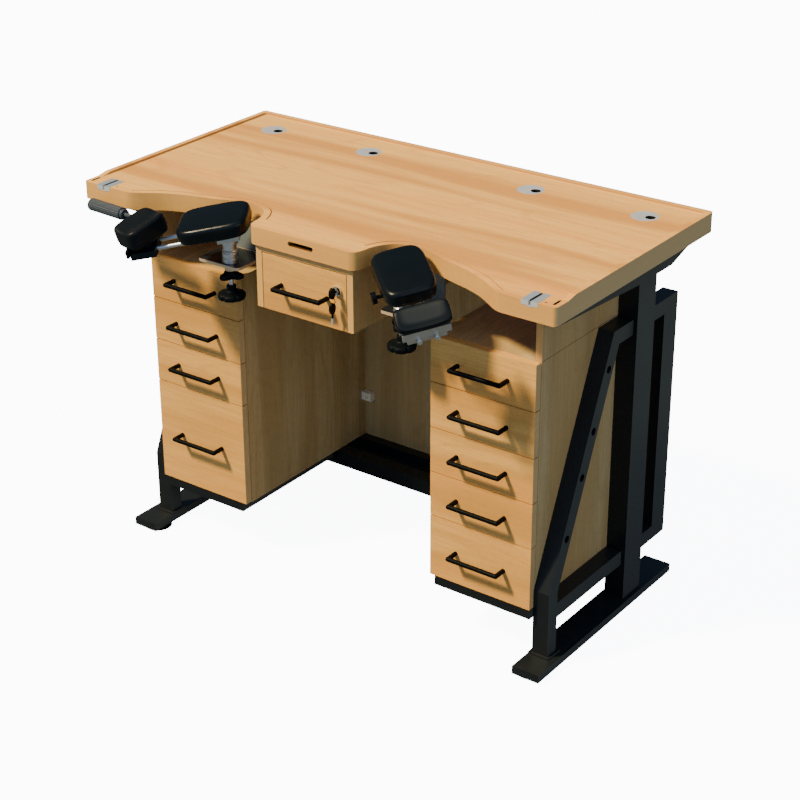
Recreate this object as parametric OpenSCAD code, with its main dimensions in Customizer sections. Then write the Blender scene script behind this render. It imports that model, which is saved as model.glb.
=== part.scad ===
// Watchmakers bench: a beech worktop with two arm cut-outs on a pair of steel
// side frames, two hung pedestals of drawers, a locking centre drawer and two
// swivelling armrests. Lengths are in millimetres, angles in degrees.
// X runs to the sitter's right, Y from the sitter to the back, Z up from the floor.

/* [Worktop] */
// width of the worktop
worktop_width = 1300; // [1250:5:1400]
// depth of the worktop from front edge to back edge
worktop_depth = 660; // [645:5:700]
// height of the working surface above the floor
worktop_height = 935; // [925:5:975]
// thickness of the board
worktop_thickness = 42; // [38:1:48]
// radius of the board's upright corners
worktop_corner = 9; // [4:1:16]
// height of the raised rim
rim_height = 5; // [3:0.5:8]
// width of the raised rim
rim_width = 14; // [10:1:20]
// bare run in front of each side rim
rim_setback = 47; // [40:1:60]
// length of the slope at each rim end
rim_ramp = 26; // [15:1:40]
// how far the armrests stand out in front of the worktop
front_reach = 143; // [0:0.1:200]

/* [Arm cut-outs] */
// half width of the nose between the cut-outs
nose_half = 132; // [125:1:140]
// width of a cut-out as a share of the board's run from the nose to its side
cutout_width_share = 0.7722; // [0.74:0.002:0.78]
// depth of one cut-out at its deepest point
cutout_depth = 110; // [106:1:125]
// straight steps between two given points of the curve
curve_steps = 4; // [2:1:8]
// distance from the cut-out edge to the middle of its groove
groove_inset = 17; // [14:1:24]
// width of the groove
groove_width = 3.5; // [2:0.5:5]
// depth of the groove
groove_depth = 2; // [1:0.5:4]

/* [Nose and corner details] */
// width of the slot in the nose
nose_slot_width = 70; // [50:1:90]
// height of the slot in the nose
nose_slot_height = 11; // [8:0.5:14]
// depth of the slot in the nose
nose_slot_depth = 60; // [30:1:90]
// distance of the slot's middle below the working surface
nose_slot_drop = 18; // [14:0.5:24]
// length of the short slot beside each corner
corner_slot_length = 30; // [20:1:36]
// width of the short slot
corner_slot_width = 4; // [3:0.5:6]
// depth of the short slot
corner_slot_depth = 4; // [3:0.5:8]
// distance of the short slot from the side edge
corner_slot_side = 14; // [11:0.5:20]
// distance of the short slot's front end from the front edge
corner_slot_front = 13; // [10:0.5:16]
// radius of the pilot hole beside each corner plate
pilot_radius = 2.5; // [1.5:0.1:4]
// depth of the pilot hole
pilot_depth = 20; // [10:1:30]
// distance of the pilot hole from its corner plate's middle
pilot_offset = 30; // [26:1:36]
// distance of the pilot hole from the front edge
pilot_front = 14; // [10:1:20]

/* [Corner plates] */
// distance of the corner plate's middle from the side edge
plate_side = 63; // [50:1:80]
// width of the corner plate
plate_width = 40; // [34:1:48]
// length of the corner plate from the front edge backwards
plate_length = 50; // [40:1:60]
// thickness of the corner plate
plate_thickness = 3; // [2:0.1:4]
// height of the lip that wraps over the front edge
plate_lip = 10; // [7:0.5:16]
// how far the plate stands proud of the board
plate_proud = 0.6; // [0.3:0.1:1.2]
// width of the groove down the middle of the plate
plate_groove = 5; // [4:0.5:8]
// depth of the groove in the board under the plate
plate_groove_depth = 9; // [6:0.5:14]
// radius of each plate screw
plate_screw_radius = 2; // [1.5:0.1:2.5]
// length of each plate screw in the board
plate_screw_length = 18; // [10:1:24]

/* [Lamp inserts] */
// distance of the outer inserts from the middle of the worktop
insert_outer = 534; // [525:1:545]
// distance of the inner inserts from the middle of the worktop
insert_inner = 234; // [200:1:260]
// distance of the inserts from the back edge
insert_back = 104; // [80:1:120]
// radius of the insert's flange
insert_flange_radius = 32; // [31:0.5:34]
// thickness of the insert's flange
insert_flange_height = 3; // [2:0.5:5]
// radius of the insert's body
insert_body_radius = 29; // [27.5:0.5:30]
// height of the insert's body below its flange
insert_body_height = 34; // [28:1:36]
// radius of the bore for a lamp pin
insert_bore_radius = 12; // [10:0.5:13]
// sideways offset of the bore in the insert
insert_bore_offset = 14; // [12:0.5:14.5]

/* [Side frames] */
// distance of the frames' inner faces from the middle
frame_inner = 546; // [540:1:560]
// width of the foot bar
foot_width = 70; // [60:1:80]
// height of the foot bar
foot_height = 20; // [16:1:24]
// distance of the foot's front end from the worktop's front edge
foot_front = 46; // [40:1:60]
// length of the foot bar
foot_length = 596; // [580:1:600]
// how far the foot reaches inside the frame's inner face
foot_inset = 8; // [4:1:12]
// width of the slim tubes
tube_width = 40; // [36:1:44]
// depth of the slim tubes
tube_depth = 37; // [34:1:42]
// wall thickness of the tubes
tube_wall = 3; // [2:0.5:4]
// distance of the leg's front face from the worktop's front edge
leg_front = 116; // [114:1:122]
// height where the leg bends into the diagonal
bend_height = 190; // [180:1:205]
// distance of the diagonal's front face from the worktop's front edge at its top
diagonal_top = 351; // [335:1:360]
// height of the bottom rail's underside
bottom_rail_height = 116; // [106:1:120]
// drop from the board's underside to the top of the frame's top rail
top_rail_drop = 152; // [145:1:160]
// distance of the column's front face from the worktop's front edge
column_front = 434; // [428:1:440]
// depth of the column
column_depth = 78; // [70:1:80]
// width of the column
column_width = 50; // [46:1:56]
// distance of the rear post's front face from the worktop's front edge
post_front = 577; // [570:1:590]
// depth of the rear post
post_depth = 60; // [50:1:64]
// distance of the top arm's front end from the worktop's front edge
arm_front = 92; // [80:1:110]
// distance of the top arm's back end from the worktop's front edge
arm_back = 650; // [630:1:655]
// depth of the top arm below the board at the column
arm_root = 67; // [60:1:80]
// depth of the top arm below the board at its ends
arm_tip = 46; // [40:1:50]
// length of the level part of the top arm behind the column
arm_level = 68; // [50:1:90]
// height of the base plate under the leg
base_plate = 4; // [3:0.5:6]
// overlap of the base plate around the leg
base_lip = 7; // [4:0.5:8]

/* [Glides] */
// height of a glide below the foot
glide_height = 6; // [4:0.5:10]
// radius of a glide
glide_radius = 34; // [30:1:36]
// distance of a glide's middle from the foot's end
glide_end = 40; // [38:1:60]
// shift of the glides towards the middle of the bench
glide_shift = 8; // [4:0.5:10]
// radius of a glide's stem
glide_stem_radius = 5; // [4:0.5:6]
// height of a glide's stem
glide_stem_height = 16; // [10:1:18]

/* [Crossbars and rails] */
// side of the square crossbars
bar_side = 39; // [34:1:42]
// distance of the middle crossbar from the worktop's front edge
mid_bar_front = 460; // [455:1:465]
// distance of the rear crossbar from the worktop's front edge
rear_bar_front = 556; // [548:1:562]
// height of the support rails under the pedestals
support_height = 22; // [18:1:26]
// thickness of the support rails
support_thickness = 14; // [10:1:18]
// inset of the support rails from the pedestal's edges
support_inset = 12; // [8:1:16]

/* [Frame bolts] */
// radius of a bolt's shank
bolt_radius = 4; // [3:0.5:5]
// radius of a bolt's head
bolt_head_radius = 7; // [6:0.5:8]
// height of a bolt's head
bolt_head_height = 7; // [5:0.5:8]
// radius of the access hole around a bolt's head
bolt_access_radius = 9; // [8.5:0.5:10]
// depth of a bolt in the pedestal's side
bolt_grip = 12; // [8:1:14]
// corner radius of the hexagon socket in a bolt's head
bolt_socket_radius = 3.5; // [3:0.5:4]
// depth of the socket in a bolt's head
bolt_socket_depth = 4; // [3:0.5:5]

/* [Pedestals] */
// width of one pedestal
pedestal_width = 270; // [262:1:280]
// height of the pedestal's underside above the floor
pedestal_bottom = 143; // [140:1:146]
// height of the riser panels between the pedestals and the board
riser_height = 149; // [143:1:151]
// distance of the drawer fronts from the worktop's front edge
fronts_setback = 100; // [95:1:108]
// distance of the pedestal's back from the worktop's front edge
pedestal_back = 600; // [585:1:620]
// thickness of the pedestal's boards
board = 16; // [14:0.5:18]
// thickness of the pedestal's back board
back_board = 8; // [5:0.5:10]
// height of one small drawer front as a share of its pedestal
pitch_share = 0.1847; // [0.175:0.001:0.193]
// gap between two drawer fronts
front_gap = 2.5; // [1.5:0.5:4]
// thickness of the drawer fronts
front_thickness = 19; // [17:1:21]

/* [Drawer boxes] */
// gap between a drawer box and the pedestal's side
box_gap = 1; // [0.6:0.1:1.2]
// thickness of a drawer box's sides
box_side = 13; // [12:0.5:16]
// thickness of a drawer box's bottom
box_bottom = 6; // [4:0.5:8]
// length of a drawer box behind its front
box_length = 430; // [400:5:455]
// height left free under and over a drawer box
box_clear = 2; // [1:0.5:4]
// height of a runner strip
runner_height = 10; // [8:0.5:12]
// how far a runner strip stands out from the pedestal's side
runner_depth = 7; // [6:0.5:8]
// play between a runner strip and its groove
runner_play = 0.5; // [0.3:0.1:0.8]
// height of a runner strip's underside above its box's underside
runner_rise = 30; // [20:1:34]
// length of a runner strip
runner_length = 440; // [400:5:460]

/* [Handles] */
// distance between a handle's two legs
handle_spacing = 128; // [110:1:140]
// distance of a handle's bar from the drawer front
handle_reach = 31; // [26:1:38]
// radius of the handle's round bar
handle_radius = 5.5; // [4.5:0.5:6.5]
// radius of the studs that hold a handle
stud_radius = 2; // [1.5:0.1:2.5]
// depth of a handle's screw in its leg
stud_grip = 14; // [10:1:20]
// play around studs, screws and stems
play = 0.2; // [0.1:0.05:0.3]

/* [Centre drawer] */
// distance of the centre case from the worktop's front edge
centre_setback = 10; // [6:1:16]
// height of the centre case
centre_height = 151; // [140:1:160]
// length of the centre case
centre_length = 430; // [400:5:450]
// length of the centre drawer's box
centre_box_length = 385; // [350:5:390]

/* [Lock and keys] */
// distance of the lock from the middle of the centre drawer
lock_side = 94; // [88:1:98]
// height of the lock above the lower edge of the centre drawer's front
lock_rise = 92; // [86:1:98]
// radius of the lock's collar
lock_radius = 11; // [9:0.5:13]
// how far the lock's collar stands out
lock_reach = 6; // [4:0.5:9]
// radius of the lock's barrel
barrel_radius = 9; // [7.5:0.5:10]
// length of the lock's barrel behind the drawer's front
barrel_back = 6; // [3:0.5:9]
// radius of the turning plug
plug_radius = 6; // [5:0.5:7]
// length of the latch on the plug
latch_length = 30; // [26:1:34]
// width of the latch
latch_width = 9; // [7:0.5:11]
// thickness of the latch
latch_thickness = 3; // [2:0.5:4]
// half height of a key's grip
key_grip_half = 13; // [11:0.5:15]
// half width of a key's grip
key_grip_narrow = 9.5; // [8:0.5:11]
// thickness of a key's grip
key_grip_thickness = 5; // [3:0.5:7]
// width of a key's blade
key_blade = 5; // [4:0.5:6]
// thickness of a key's blade
key_blade_thickness = 2; // [1.5:0.1:2.5]
// length of a key's blade
key_blade_length = 24; // [18:1:28]
// distance between the lock's collar and the key's grip
key_stand = 5; // [3:0.5:8]
// distance of the eye in a key's grip from the grip's end
key_eye = 4.5; // [4:0.5:6]
// radius of the key ring
ring_radius = 8; // [7:0.5:10]
// radius of the key ring's wire
ring_wire = 0.8; // [0.5:0.1:1.2]
// radius of the hole in a key's grip
key_hole = 2.5; // [2:0.1:3]

/* [Back panel and blocks] */
// distance of the back panel from the worktop's front edge
back_panel_front = 584; // [575:1:590]
// side of a corner block
block_side = 30; // [24:1:36]
// height of a corner block
block_height = 22; // [18:1:28]

/* [Armrest post and bracket] */
// distance of the armrest post from the middle of the bench
rest_side = 241; // [238:1:245]
// distance of the armrest post from the worktop's front edge
rest_front = 42; // [38:1:46]
// drop from the board's underside to the bracket's shelf
shelf_drop = 80; // [76:1:90]
// thickness of the bracket's plate
bracket_thickness = 7; // [5:0.5:8]
// width of the bracket's shelf
shelf_width = 120; // [100:1:130]
// depth of the shelf's wide part
shelf_depth = 64; // [54:1:76]
// sideways shift of the shelf from the post
shelf_shift = 18; // [10:1:24]
// distance from the post to the shelf's front edge
shelf_lead = 24; // [22:1:28]
// width of the bracket's web
web_width = 74; // [60:1:90]
// distance of the web's front face from the worktop's front edge
web_front = 120; // [117:1:128]
// length of the bracket's flange under the board
flange_length = 62; // [50:1:80]
// radius of the bracket's corners
bracket_corner = 9; // [6:1:14]
// radius of the bush under the shelf
bush_radius = 13.5; // [12:0.5:15]
// height of the bush under the shelf
bush_height = 12; // [10:0.5:14]
// radius of the post's wide part
post_radius = 18; // [16:0.5:20]
// radius of the post's narrow part
post_narrow = 15.5; // [14:0.5:17]
// height of the post above the shelf
post_height = 46; // [44:1:50]
// depth of the ring grooves in the post
post_ring = 1.6; // [1:0.2:2.4]
// radius of the post's guide below the shelf
guide_radius = 9; // [8:0.5:10]
// length of the post's guide below the shelf
guide_length = 40; // [36:1:44]
// radius of the spigot on the post's top
spigot_radius = 8; // [7:0.5:9]
// height of the spigot on the post's top
spigot_height = 14; // [11:0.5:15]
// radius of the lifting screw
screw_radius = 4; // [3.5:0.5:4.5]
// radius of the screws that hold the bracket
bracket_screw_radius = 2.5; // [2:0.1:3]
// length of the bracket's screws in the board
bracket_screw_length = 22; // [14:1:28]
// height of a wood screw's head
screw_head_height = 2.5; // [2:0.5:3]
// running play of turning and sliding fits
running = 0.06; // [0.04:0.01:0.08]
// gap between pieces that move past each other
part_gap = 0.5; // [0.4:0.1:0.8]

/* [Armrest knobs] */
// radius reached by the star knob's arms
star_radius = 31; // [28:0.5:34]
// radius of the star knob's hub
star_hub = 14; // [12:0.5:16]
// radius of the star knob's arm ends
star_arm = 7; // [6:0.5:8]
// height of the star knob
star_height = 20; // [18:0.5:24]
// height of the star knob's arms
star_arm_height = 13; // [10:0.5:16]
// drop from the star knob to the lifting knob's neck
neck_drop = 16; // [12:0.5:19]
// radius of the lifting knob's neck
neck_radius = 13; // [11:0.5:14]
// height of the lifting knob's neck
neck_height = 16; // [12:0.5:18]
// radius of the lifting knob's disc
disc_radius = 26.5; // [25:0.5:27]
// height of the lifting knob's disc
disc_height = 18; // [15:0.5:22]
// radius of the lobes on the lifting knob
lobe_radius = 7.5; // [6:0.5:8]
// number of lobes on the lifting knob
lobe_count = 6; // [5:1:8]
// turn of the star knob's first arm
star_turn = 40; // [0:5:120]
// number of arms on the star knob
star_count = 3; // [3:1:5]

/* [Arms] */
// height of the arm's pivot above the working surface, negative below it
arm_lift = -48; // [-50:1:-44]
// turn of the left arm out of the worktop's front edge
left_turn = 29; // [27:1:33]
// turn of the right arm out of the worktop's front edge
right_turn = 39; // [37:1:42]
// fall of the arm towards the elbow
arm_pitch = 13; // [12:0.5:14]
// fall of the arm towards the sitter
arm_roll = 11; // [10:0.5:12]
// sideways offset of the left hand pad towards the sitter
left_hand_side = 10; // [6:1:12]
// offset of the left hand pad from its post
left_hand = 23; // [20:1:28]
// offset of the right hand pad from its post
right_hand = 35; // [32:1:40]
// distance from the left hand pad to its elbow pad
left_elbow = 175; // [170:1:180]
// distance from the right hand pad to its elbow pad
right_elbow = 144; // [142:1:150]
// turn of the left elbow pad on its carriage
left_elbow_turn = 24; // [20:1:28]
// radius of the arm's rods
rod_radius = 5; // [4:0.5:5.5]
// distance between the arm's rods
rod_spacing = 38; // [34:1:42]
// length of rod beyond the elbow pad's middle
rod_end = 44; // [40:1:48]
// height of the elbow pad's underside above the rods' middle
elbow_rise = 22; // [16:1:26]
// half length of the arm's head
head_half = 26; // [24:1:30]
// width of the arm's head
head_width = 60; // [56:1:64]
// depth of the arm's head below the rods' middle
head_below = 13; // [11:0.5:14]
// depth of the arm's head above the rods' middle
head_above = 8; // [7:0.5:9]
// radius of the arm's swivel cap
cap_radius = 20; // [18:0.5:22]
// height of the swivel cap's straight wall
cap_height = 20; // [17:0.5:22]
// thickness of the carrier plate under the hand pad
carrier_thickness = 6; // [5:0.5:7]

/* [Pads] */
// length of the hand pad
hand_length = 167; // [158:1:172]
// width of the hand pad
hand_width = 118; // [110:1:122]
// thickness of the hand pad at its edge
hand_thickness = 37; // [32:1:40]
// crown of the hand pad
hand_crown = 3; // [2:0.5:5]
// length of the elbow pad
elbow_length = 78; // [72:1:82]
// width of the elbow pad
elbow_width = 118; // [110:1:122]
// thickness of the elbow pad at its edge
elbow_thickness = 50; // [44:1:54]
// hollow of the elbow pad along its middle
elbow_hollow = 8; // [5:0.5:10]
// width of the elbow carriage
carriage_width = 84; // [78:1:90]
// length of the elbow carriage
carriage_length = 60; // [54:1:66]
// depth of the elbow carriage below the rods' middle
carriage_below = 9; // [8:0.5:12]
// thickness of the end plate on the elbow carriage
end_plate = 5; // [4:0.5:7]
// height of the end plate
end_plate_height = 17; // [14:0.5:20]
// width of the end plate
end_plate_width = 104; // [98:1:108]
// radius of the seat under the elbow pad
seat_radius = 24; // [20:0.5:30]
// height of the elbow pad's pivot pin
pivot_pin_height = 12; // [8:0.5:16]
// radius of the elbow pad's pivot pin
pivot_radius = 6; // [5:0.5:7]
// radius of the clamp knob beside the hand pad
clamp_radius = 13; // [11:0.5:15]
// thickness of the clamp knob
clamp_thickness = 10; // [8:0.5:12]
// depth of the clamp knob's pin in its lug
clamp_pin_depth = 14; // [8:1:18]
// offset of the clamp knob along the arm from the hand pad's middle
clamp_offset = 6; // [4:1:10]
// free length of the clamp knob's pin
clamp_reach = 18; // [12:1:20]
// half width of the lug for the clamp knob
clamp_lug_half = 9; // [7:0.5:12]
// distance of the clamp knob's face from the hand pad's middle line
clamp_side = 76; // [72:1:82]

/* [Grip] */
// radius of the knurled grip
grip_radius = 15; // [13:0.5:17]
// length of the knurled grip
grip_length = 118; // [108:1:124]
// distance between the elbow pad and the grip's collar
grip_stand = 30; // [24:1:36]
// radius of the grip's pin
grip_pin_radius = 5; // [4:0.5:6]
// depth of the grip's pin in the elbow pad
grip_pin_depth = 16; // [10:1:20]
// height of the grip's middle above the elbow pad's underside
grip_rise = 34; // [28:0.5:36]
// distance of the grip's pin from the elbow pad's middle line
grip_side = 20; // [16:1:24]
// turn of the grip from the elbow pad's own direction
grip_turn = 15; // [8:1:20]
// radius of the collar beside the grip
collar_radius = 12; // [10:0.5:13]
// length of the collar beside the grip
collar_length = 10; // [8:0.5:12]
// depth of the knurl's grooves
knurl_depth = 0.8; // [0.5:0.1:1.2]
// number of the knurl's ridges
knurl_count = 20; // [16:1:24]

/* [Hidden] */
// piece to show
$fn = 48;
// number of drawers in the left pedestal
left_count = 4;
// number of drawers in the right pedestal
right_count = 5;
// places of the four bolts as shares of the diagonal's height
bolt_shares = [0.203, 0.437, 0.613, 0.848];
// places of the corner blocks as shares of the pedestal's height
block_shares = [0.175, 0.827];
// run of every cut past the face that it opens
over = 1;
// share of the run across the cut-out, from the nose outwards
cutout_across_shares = [0, 0.0325, 0.0475, 0.055, 0.0775, 0.1175, 0.1775, 0.2575,
    0.35, 0.445, 0.545, 0.67, 0.76, 0.8275, 0.895, 0.945, 1];
// share of the cut-out's depth at each of those places
cutout_depth_shares = [0, 0.07, 0.23, 0.43, 0.645, 0.836, 0.955, 1,
    0.93, 0.8, 0.69, 0.555, 0.418, 0.273, 0.109, 0.018, 0];
// outline of a cushion from its underside up: share of its half size, share of its thickness
cushion_shares = [[0.9, 0], [0.97, 0.06], [1, 0.3], [1, 0.62], [0.985, 0.82], [0.94, 0.95],
    [0.87, 1], [0.6, 1], [0.3, 1]];
// outline of the post from the shelf up: share of its radius step, share of its height
post_shares = [[1, 0], [1, 0.2], [0, 0.24], [0, 0.28], [1, 0.32], [1, 0.5], [0, 0.54], [0, 0.58], [1, 0.62]];
// share of the post's height at which it narrows to the spigot's shoulder
post_shoulder_share = 0.68;
// shares of a corner plate's length at which its screws stand
plate_screw_shares = [0.3, 0.75];
// points along one quarter of a cushion's outline
cushion_steps = 8;
// squareness of a cushion's outline
cushion_power = 0.45;

beech = "#D2A06C";
steel_black = "#26292C";
strip_wood = "#B98A57";
block_plastic = "#C9B48E";
aluminium = "#C9CDD0";
zinc = "#8F9699";
padding = "#14161A";
plastic = "#191B1D";

board_under = worktop_height - worktop_thickness;
cutout_width = cutout_width_share * (worktop_width / 2 - nose_half);
pedestal_top = board_under - riser_height;
small_pitch = pitch_share * (pedestal_top - pedestal_bottom);
top_rail_height = board_under - top_rail_drop;
bolt_heights = [for (share = bolt_shares) bend_height + share * (top_rail_height - bend_height)];
block_heights = [for (share = block_shares) pedestal_bottom + share * (pedestal_top - pedestal_bottom)];
foot_top = glide_height + foot_height;
lean = atan2(diagonal_top - leg_front, top_rail_height - bend_height);
pedestal_middle = frame_inner - pedestal_width / 2;
case_front = fronts_setback + front_thickness + front_gap;
box_width = pedestal_width - 2 * board - 2 * box_gap;
centre_bottom = board_under - centre_height;
lock_height = centre_bottom + lock_rise;
shelf_top = board_under - shelf_drop;
pivot_height = worktop_height + arm_lift;
barrel_end = centre_setback + front_thickness + barrel_back;
latch_front = barrel_end + part_gap;
clamp_lug = clamp_thickness + clamp_reach - clamp_side;

// points of a round corner, counted against the clock
function corner(x, y, radius, from) =
    [for (i = [0:6]) [x + radius * cos(from + 15 * i), y + radius * sin(from + 15 * i)]];

// place on a smooth curve through b and c, with neighbours a and d, at share t between them
function smooth(a, b, c, d, t) = b + t / 2 * (c - a + t * (2 * a - 5 * b + 4 * c - d
    + t * (3 * b - a - 3 * c + d)));

// given points of one cut-out, from the nose outwards, with one more point past each end
cutout_given = concat([[nose_half - cutout_width * cutout_across_shares[1], 0]],
    [for (i = [0:len(cutout_across_shares) - 1])
    [nose_half + cutout_width * cutout_across_shares[i], cutout_depth * cutout_depth_shares[i]]],
    [[nose_half + cutout_width * (2 - cutout_across_shares[len(cutout_across_shares) - 2]), 0]]);

// fair curve of one cut-out, from the nose outwards
cutout_curve = concat([for (i = [1:len(cutout_given) - 3]) for (k = [0:curve_steps - 1])
    smooth(cutout_given[i - 1], cutout_given[i], cutout_given[i + 1], cutout_given[i + 2], k / curve_steps)],
    [cutout_given[len(cutout_given) - 2]]);

// the curve moved into the board by a distance, without its two ends
function inset_curve(distance) = [for (i = [curve_steps * 3 : len(cutout_curve) - 1 - curve_steps])
    let (step = cutout_curve[i + 1] - cutout_curve[i - 1])
    cutout_curve[i] + distance * [-step[1], step[0]] / norm(step)];

function turned(points) = [for (i = [len(points) - 1 : -1 : 0]) points[i]];
function mirrored(points) = [for (i = [len(points) - 1 : -1 : 0]) [-points[i][0], points[i][1]]];

// moves the bench so that its origin lies on the floor under the middle of its outline
module centred() {
    translate([0, (front_reach - worktop_depth) / 2, 0]) children();
}

// a copy on the left and a copy on the right
module both_sides() {
    children();
    mirror([1, 0, 0]) children();
}

// a solid with an outline in depth and height, from one sideways place to another
module side_profile(from, to, points) {
    translate([from, 0, 0]) rotate([90, 0, 90]) linear_extrude(to - from) polygon(points);
}

// a box between two corners
module block(low, high) {
    translate(low) cube(high - low);
}

module rod_along_x(from, to, radius) {
    translate([from, 0, 0]) rotate([0, 90, 0]) cylinder(h = to - from, r = radius);
}

module rod_along_y(from, to, radius) {
    translate([0, from, 0]) rotate([-90, 0, 0]) cylinder(h = to - from, r = radius);
}

// the board and its details
module worktop_outline() {
    half = worktop_width / 2;
    polygon(concat(
        corner(-half + worktop_corner, worktop_corner, worktop_corner, 180),
        mirrored(cutout_curve), cutout_curve,
        corner(half - worktop_corner, worktop_corner, worktop_corner, 270),
        corner(half - worktop_corner, worktop_depth - worktop_corner, worktop_corner, 0),
        corner(-half + worktop_corner, worktop_depth - worktop_corner, worktop_corner, 90)));
}

module rim_slope() {
    top = worktop_height + rim_height;
    side_profile(-worktop_width / 2 - over, worktop_width / 2 + over,
        [[-over, worktop_height], [rim_setback, worktop_height], [rim_setback + rim_ramp, top],
        [rim_setback + rim_ramp, top + over], [-over, top + over]]);
}

module rim_pocket() {
    half = worktop_width / 2 - rim_width;
    back = worktop_depth - rim_width - worktop_corner;
    translate([0, 0, worktop_height]) linear_extrude(rim_height + over)
        polygon(concat([[-half, -over], [half, -over]],
            corner(half - worktop_corner, back, worktop_corner, 0),
            corner(-half + worktop_corner, back, worktop_corner, 90)));
}

module cutout_groove() {
    translate([0, 0, worktop_height - groove_depth]) linear_extrude(groove_depth + over)
        polygon(concat(inset_curve(groove_inset - groove_width / 2),
            turned(inset_curve(groove_inset + groove_width / 2))));
}

module corner_slot() {
    middle = worktop_width / 2 - corner_slot_side;
    block([middle - corner_slot_width / 2, corner_slot_front, worktop_height - corner_slot_depth],
        [middle + corner_slot_width / 2, corner_slot_front + corner_slot_length, worktop_height + over]);
}

module nose_slot() {
    reach = (nose_slot_width - nose_slot_height) / 2;
    translate([0, 0, worktop_height - nose_slot_drop]) {
        block([-reach, -over, -nose_slot_height / 2], [reach, nose_slot_depth, nose_slot_height / 2]);
        for (x = [-reach, reach])
            translate([x, 0, 0]) rod_along_y(-over, nose_slot_depth, nose_slot_height / 2);
    }
}

module at_inserts() {
    for (x = [-insert_outer, -insert_inner, insert_inner, insert_outer])
        translate([x, worktop_depth - insert_back, worktop_height]) children();
}

module at_plates() {
    for (side = [-1, 1])
        translate([side * (worktop_width / 2 - plate_side), 0, worktop_height]) children();
}

// room for one corner plate, with its middle at zero
module plate_room() {
    block([-plate_width / 2, -over, plate_proud - plate_thickness], [plate_width / 2, plate_length, over]);
    block([-plate_width / 2, -over, -plate_lip], [plate_width / 2, plate_thickness - plate_proud, over]);
    channel = plate_groove / 2 + plate_thickness;
    block([-channel, -over, -plate_groove_depth - plate_thickness], [channel, plate_length, over]);
}

module worktop() {
    color(beech) difference() {
        translate([0, 0, board_under]) linear_extrude(worktop_thickness + rim_height) worktop_outline();
        rim_pocket();
        rim_slope();
        both_sides() {
            cutout_groove();
            corner_slot();
        }
        nose_slot();
        at_inserts() {
            translate([0, 0, -insert_flange_height])
                cylinder(h = insert_flange_height + over, r = insert_flange_radius);
            translate([0, 0, -worktop_thickness - over])
                cylinder(h = worktop_thickness + over, r = insert_body_radius);
        }
        at_plates() {
            plate_room();
            translate([pilot_offset, pilot_front, -pilot_depth])
                cylinder(h = pilot_depth + over, r = pilot_radius);
            at_plate_screws() translate([0, 0, -plate_screw_length])
                cylinder(h = plate_screw_length, r = plate_screw_radius);
        }
        both_sides() at_bracket_screws() cylinder(h = bracket_screw_length, r = bracket_screw_radius);
    }
}

// four let-in inserts, each with a bore for a lamp pin
module inserts() {
    color(aluminium) at_inserts() difference() {
        union() {
            translate([0, 0, -insert_flange_height]) cylinder(h = insert_flange_height, r = insert_flange_radius);
            translate([0, 0, -insert_flange_height - insert_body_height])
                cylinder(h = insert_body_height + insert_flange_height / 2, r = insert_body_radius);
        }
        translate([insert_bore_offset, 0, -insert_flange_height - insert_body_height - over])
            cylinder(h = insert_flange_height + insert_body_height + 2 * over, r = insert_bore_radius);
    }
}

// places of a corner plate's screws, at the underside of the plate's channel
module at_plate_screws() {
    for (share = plate_screw_shares)
        translate([0, plate_length * share, -plate_groove_depth - plate_thickness]) children();
}

module corner_plates() {
    channel = plate_groove / 2 + plate_thickness;
    front = -plate_proud;
    color(aluminium) at_plates() difference() {
        union() {
            block([-plate_width / 2, front, plate_proud - plate_thickness],
                [plate_width / 2, plate_length, plate_proud]);
            block([-plate_width / 2, front, -plate_lip],
                [plate_width / 2, plate_thickness - plate_proud, plate_proud]);
            block([-channel, front, -plate_groove_depth - plate_thickness], [channel, plate_length, 0]);
        }
        block([-plate_groove / 2, front - over, -plate_groove_depth],
            [plate_groove / 2, plate_length + over, plate_proud + over]);
        at_plate_screws() translate([0, 0, -over])
            cylinder(h = plate_thickness + 2 * over, r = plate_screw_radius);
    }
}

// places of a bracket's screws on the underside of the board
module at_bracket_screws() {
    for (x = [-web_width / 3, web_width / 3]) for (share = [0.4, 0.8])
        translate([rest_side + shelf_shift + x, web_front + flange_length * share, board_under]) children();
}

// screws of the corner plates and of the armrest brackets
module screws() {
    color(zinc) {
        at_plates() at_plate_screws() {
            translate([0, 0, -plate_screw_length]) cylinder(h = plate_screw_length, r = plate_screw_radius);
            cylinder(h = plate_thickness + over, r = plate_screw_radius);
        }
        both_sides() at_bracket_screws() {
            translate([0, 0, -bracket_thickness]) cylinder(h = bracket_thickness + bracket_screw_length,
                r = bracket_screw_radius);
            translate([0, 0, -bracket_thickness - screw_head_height])
                cylinder(h = screw_head_height, r = 2 * bracket_screw_radius);
        }
    }
}

// outline of the leg and diagonal, moved inwards by a wall on every side
function leg_outline(wall, low, high) =
    let (front = wall, back = tube_depth - wall)
    [[leg_front + front, low], [leg_front + front, bend_height - front * tan(lean / 2)],
    [diagonal_face(high) + front / cos(lean), high], [diagonal_face(high) + back / cos(lean), high],
    [leg_front + back, bend_height - back * tan(lean / 2)], [leg_front + back, low]];

// place of the diagonal's front face at a height
function diagonal_face(height) = diagonal_top - (top_rail_height - height) * tan(lean);

// a level or upright member of the frame, with its corners in depth and height
function member(low, high, wall) =
    [[low[0] + wall, low[1] + wall], [high[0] - wall, low[1] + wall],
    [high[0] - wall, high[1] - wall], [low[0] + wall, high[1] - wall]];

// outline of the top arm, moved inwards by a wall
function arm_outline(wall) =
    let (top = board_under - wall)
    [[arm_front + wall, top], [arm_front + wall, board_under - arm_tip + wall],
    [column_front, board_under - arm_root + wall],
    [column_front + column_depth + arm_level, board_under - arm_root + wall],
    [arm_back - wall, board_under - arm_tip + wall], [arm_back - wall, top]];

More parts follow.
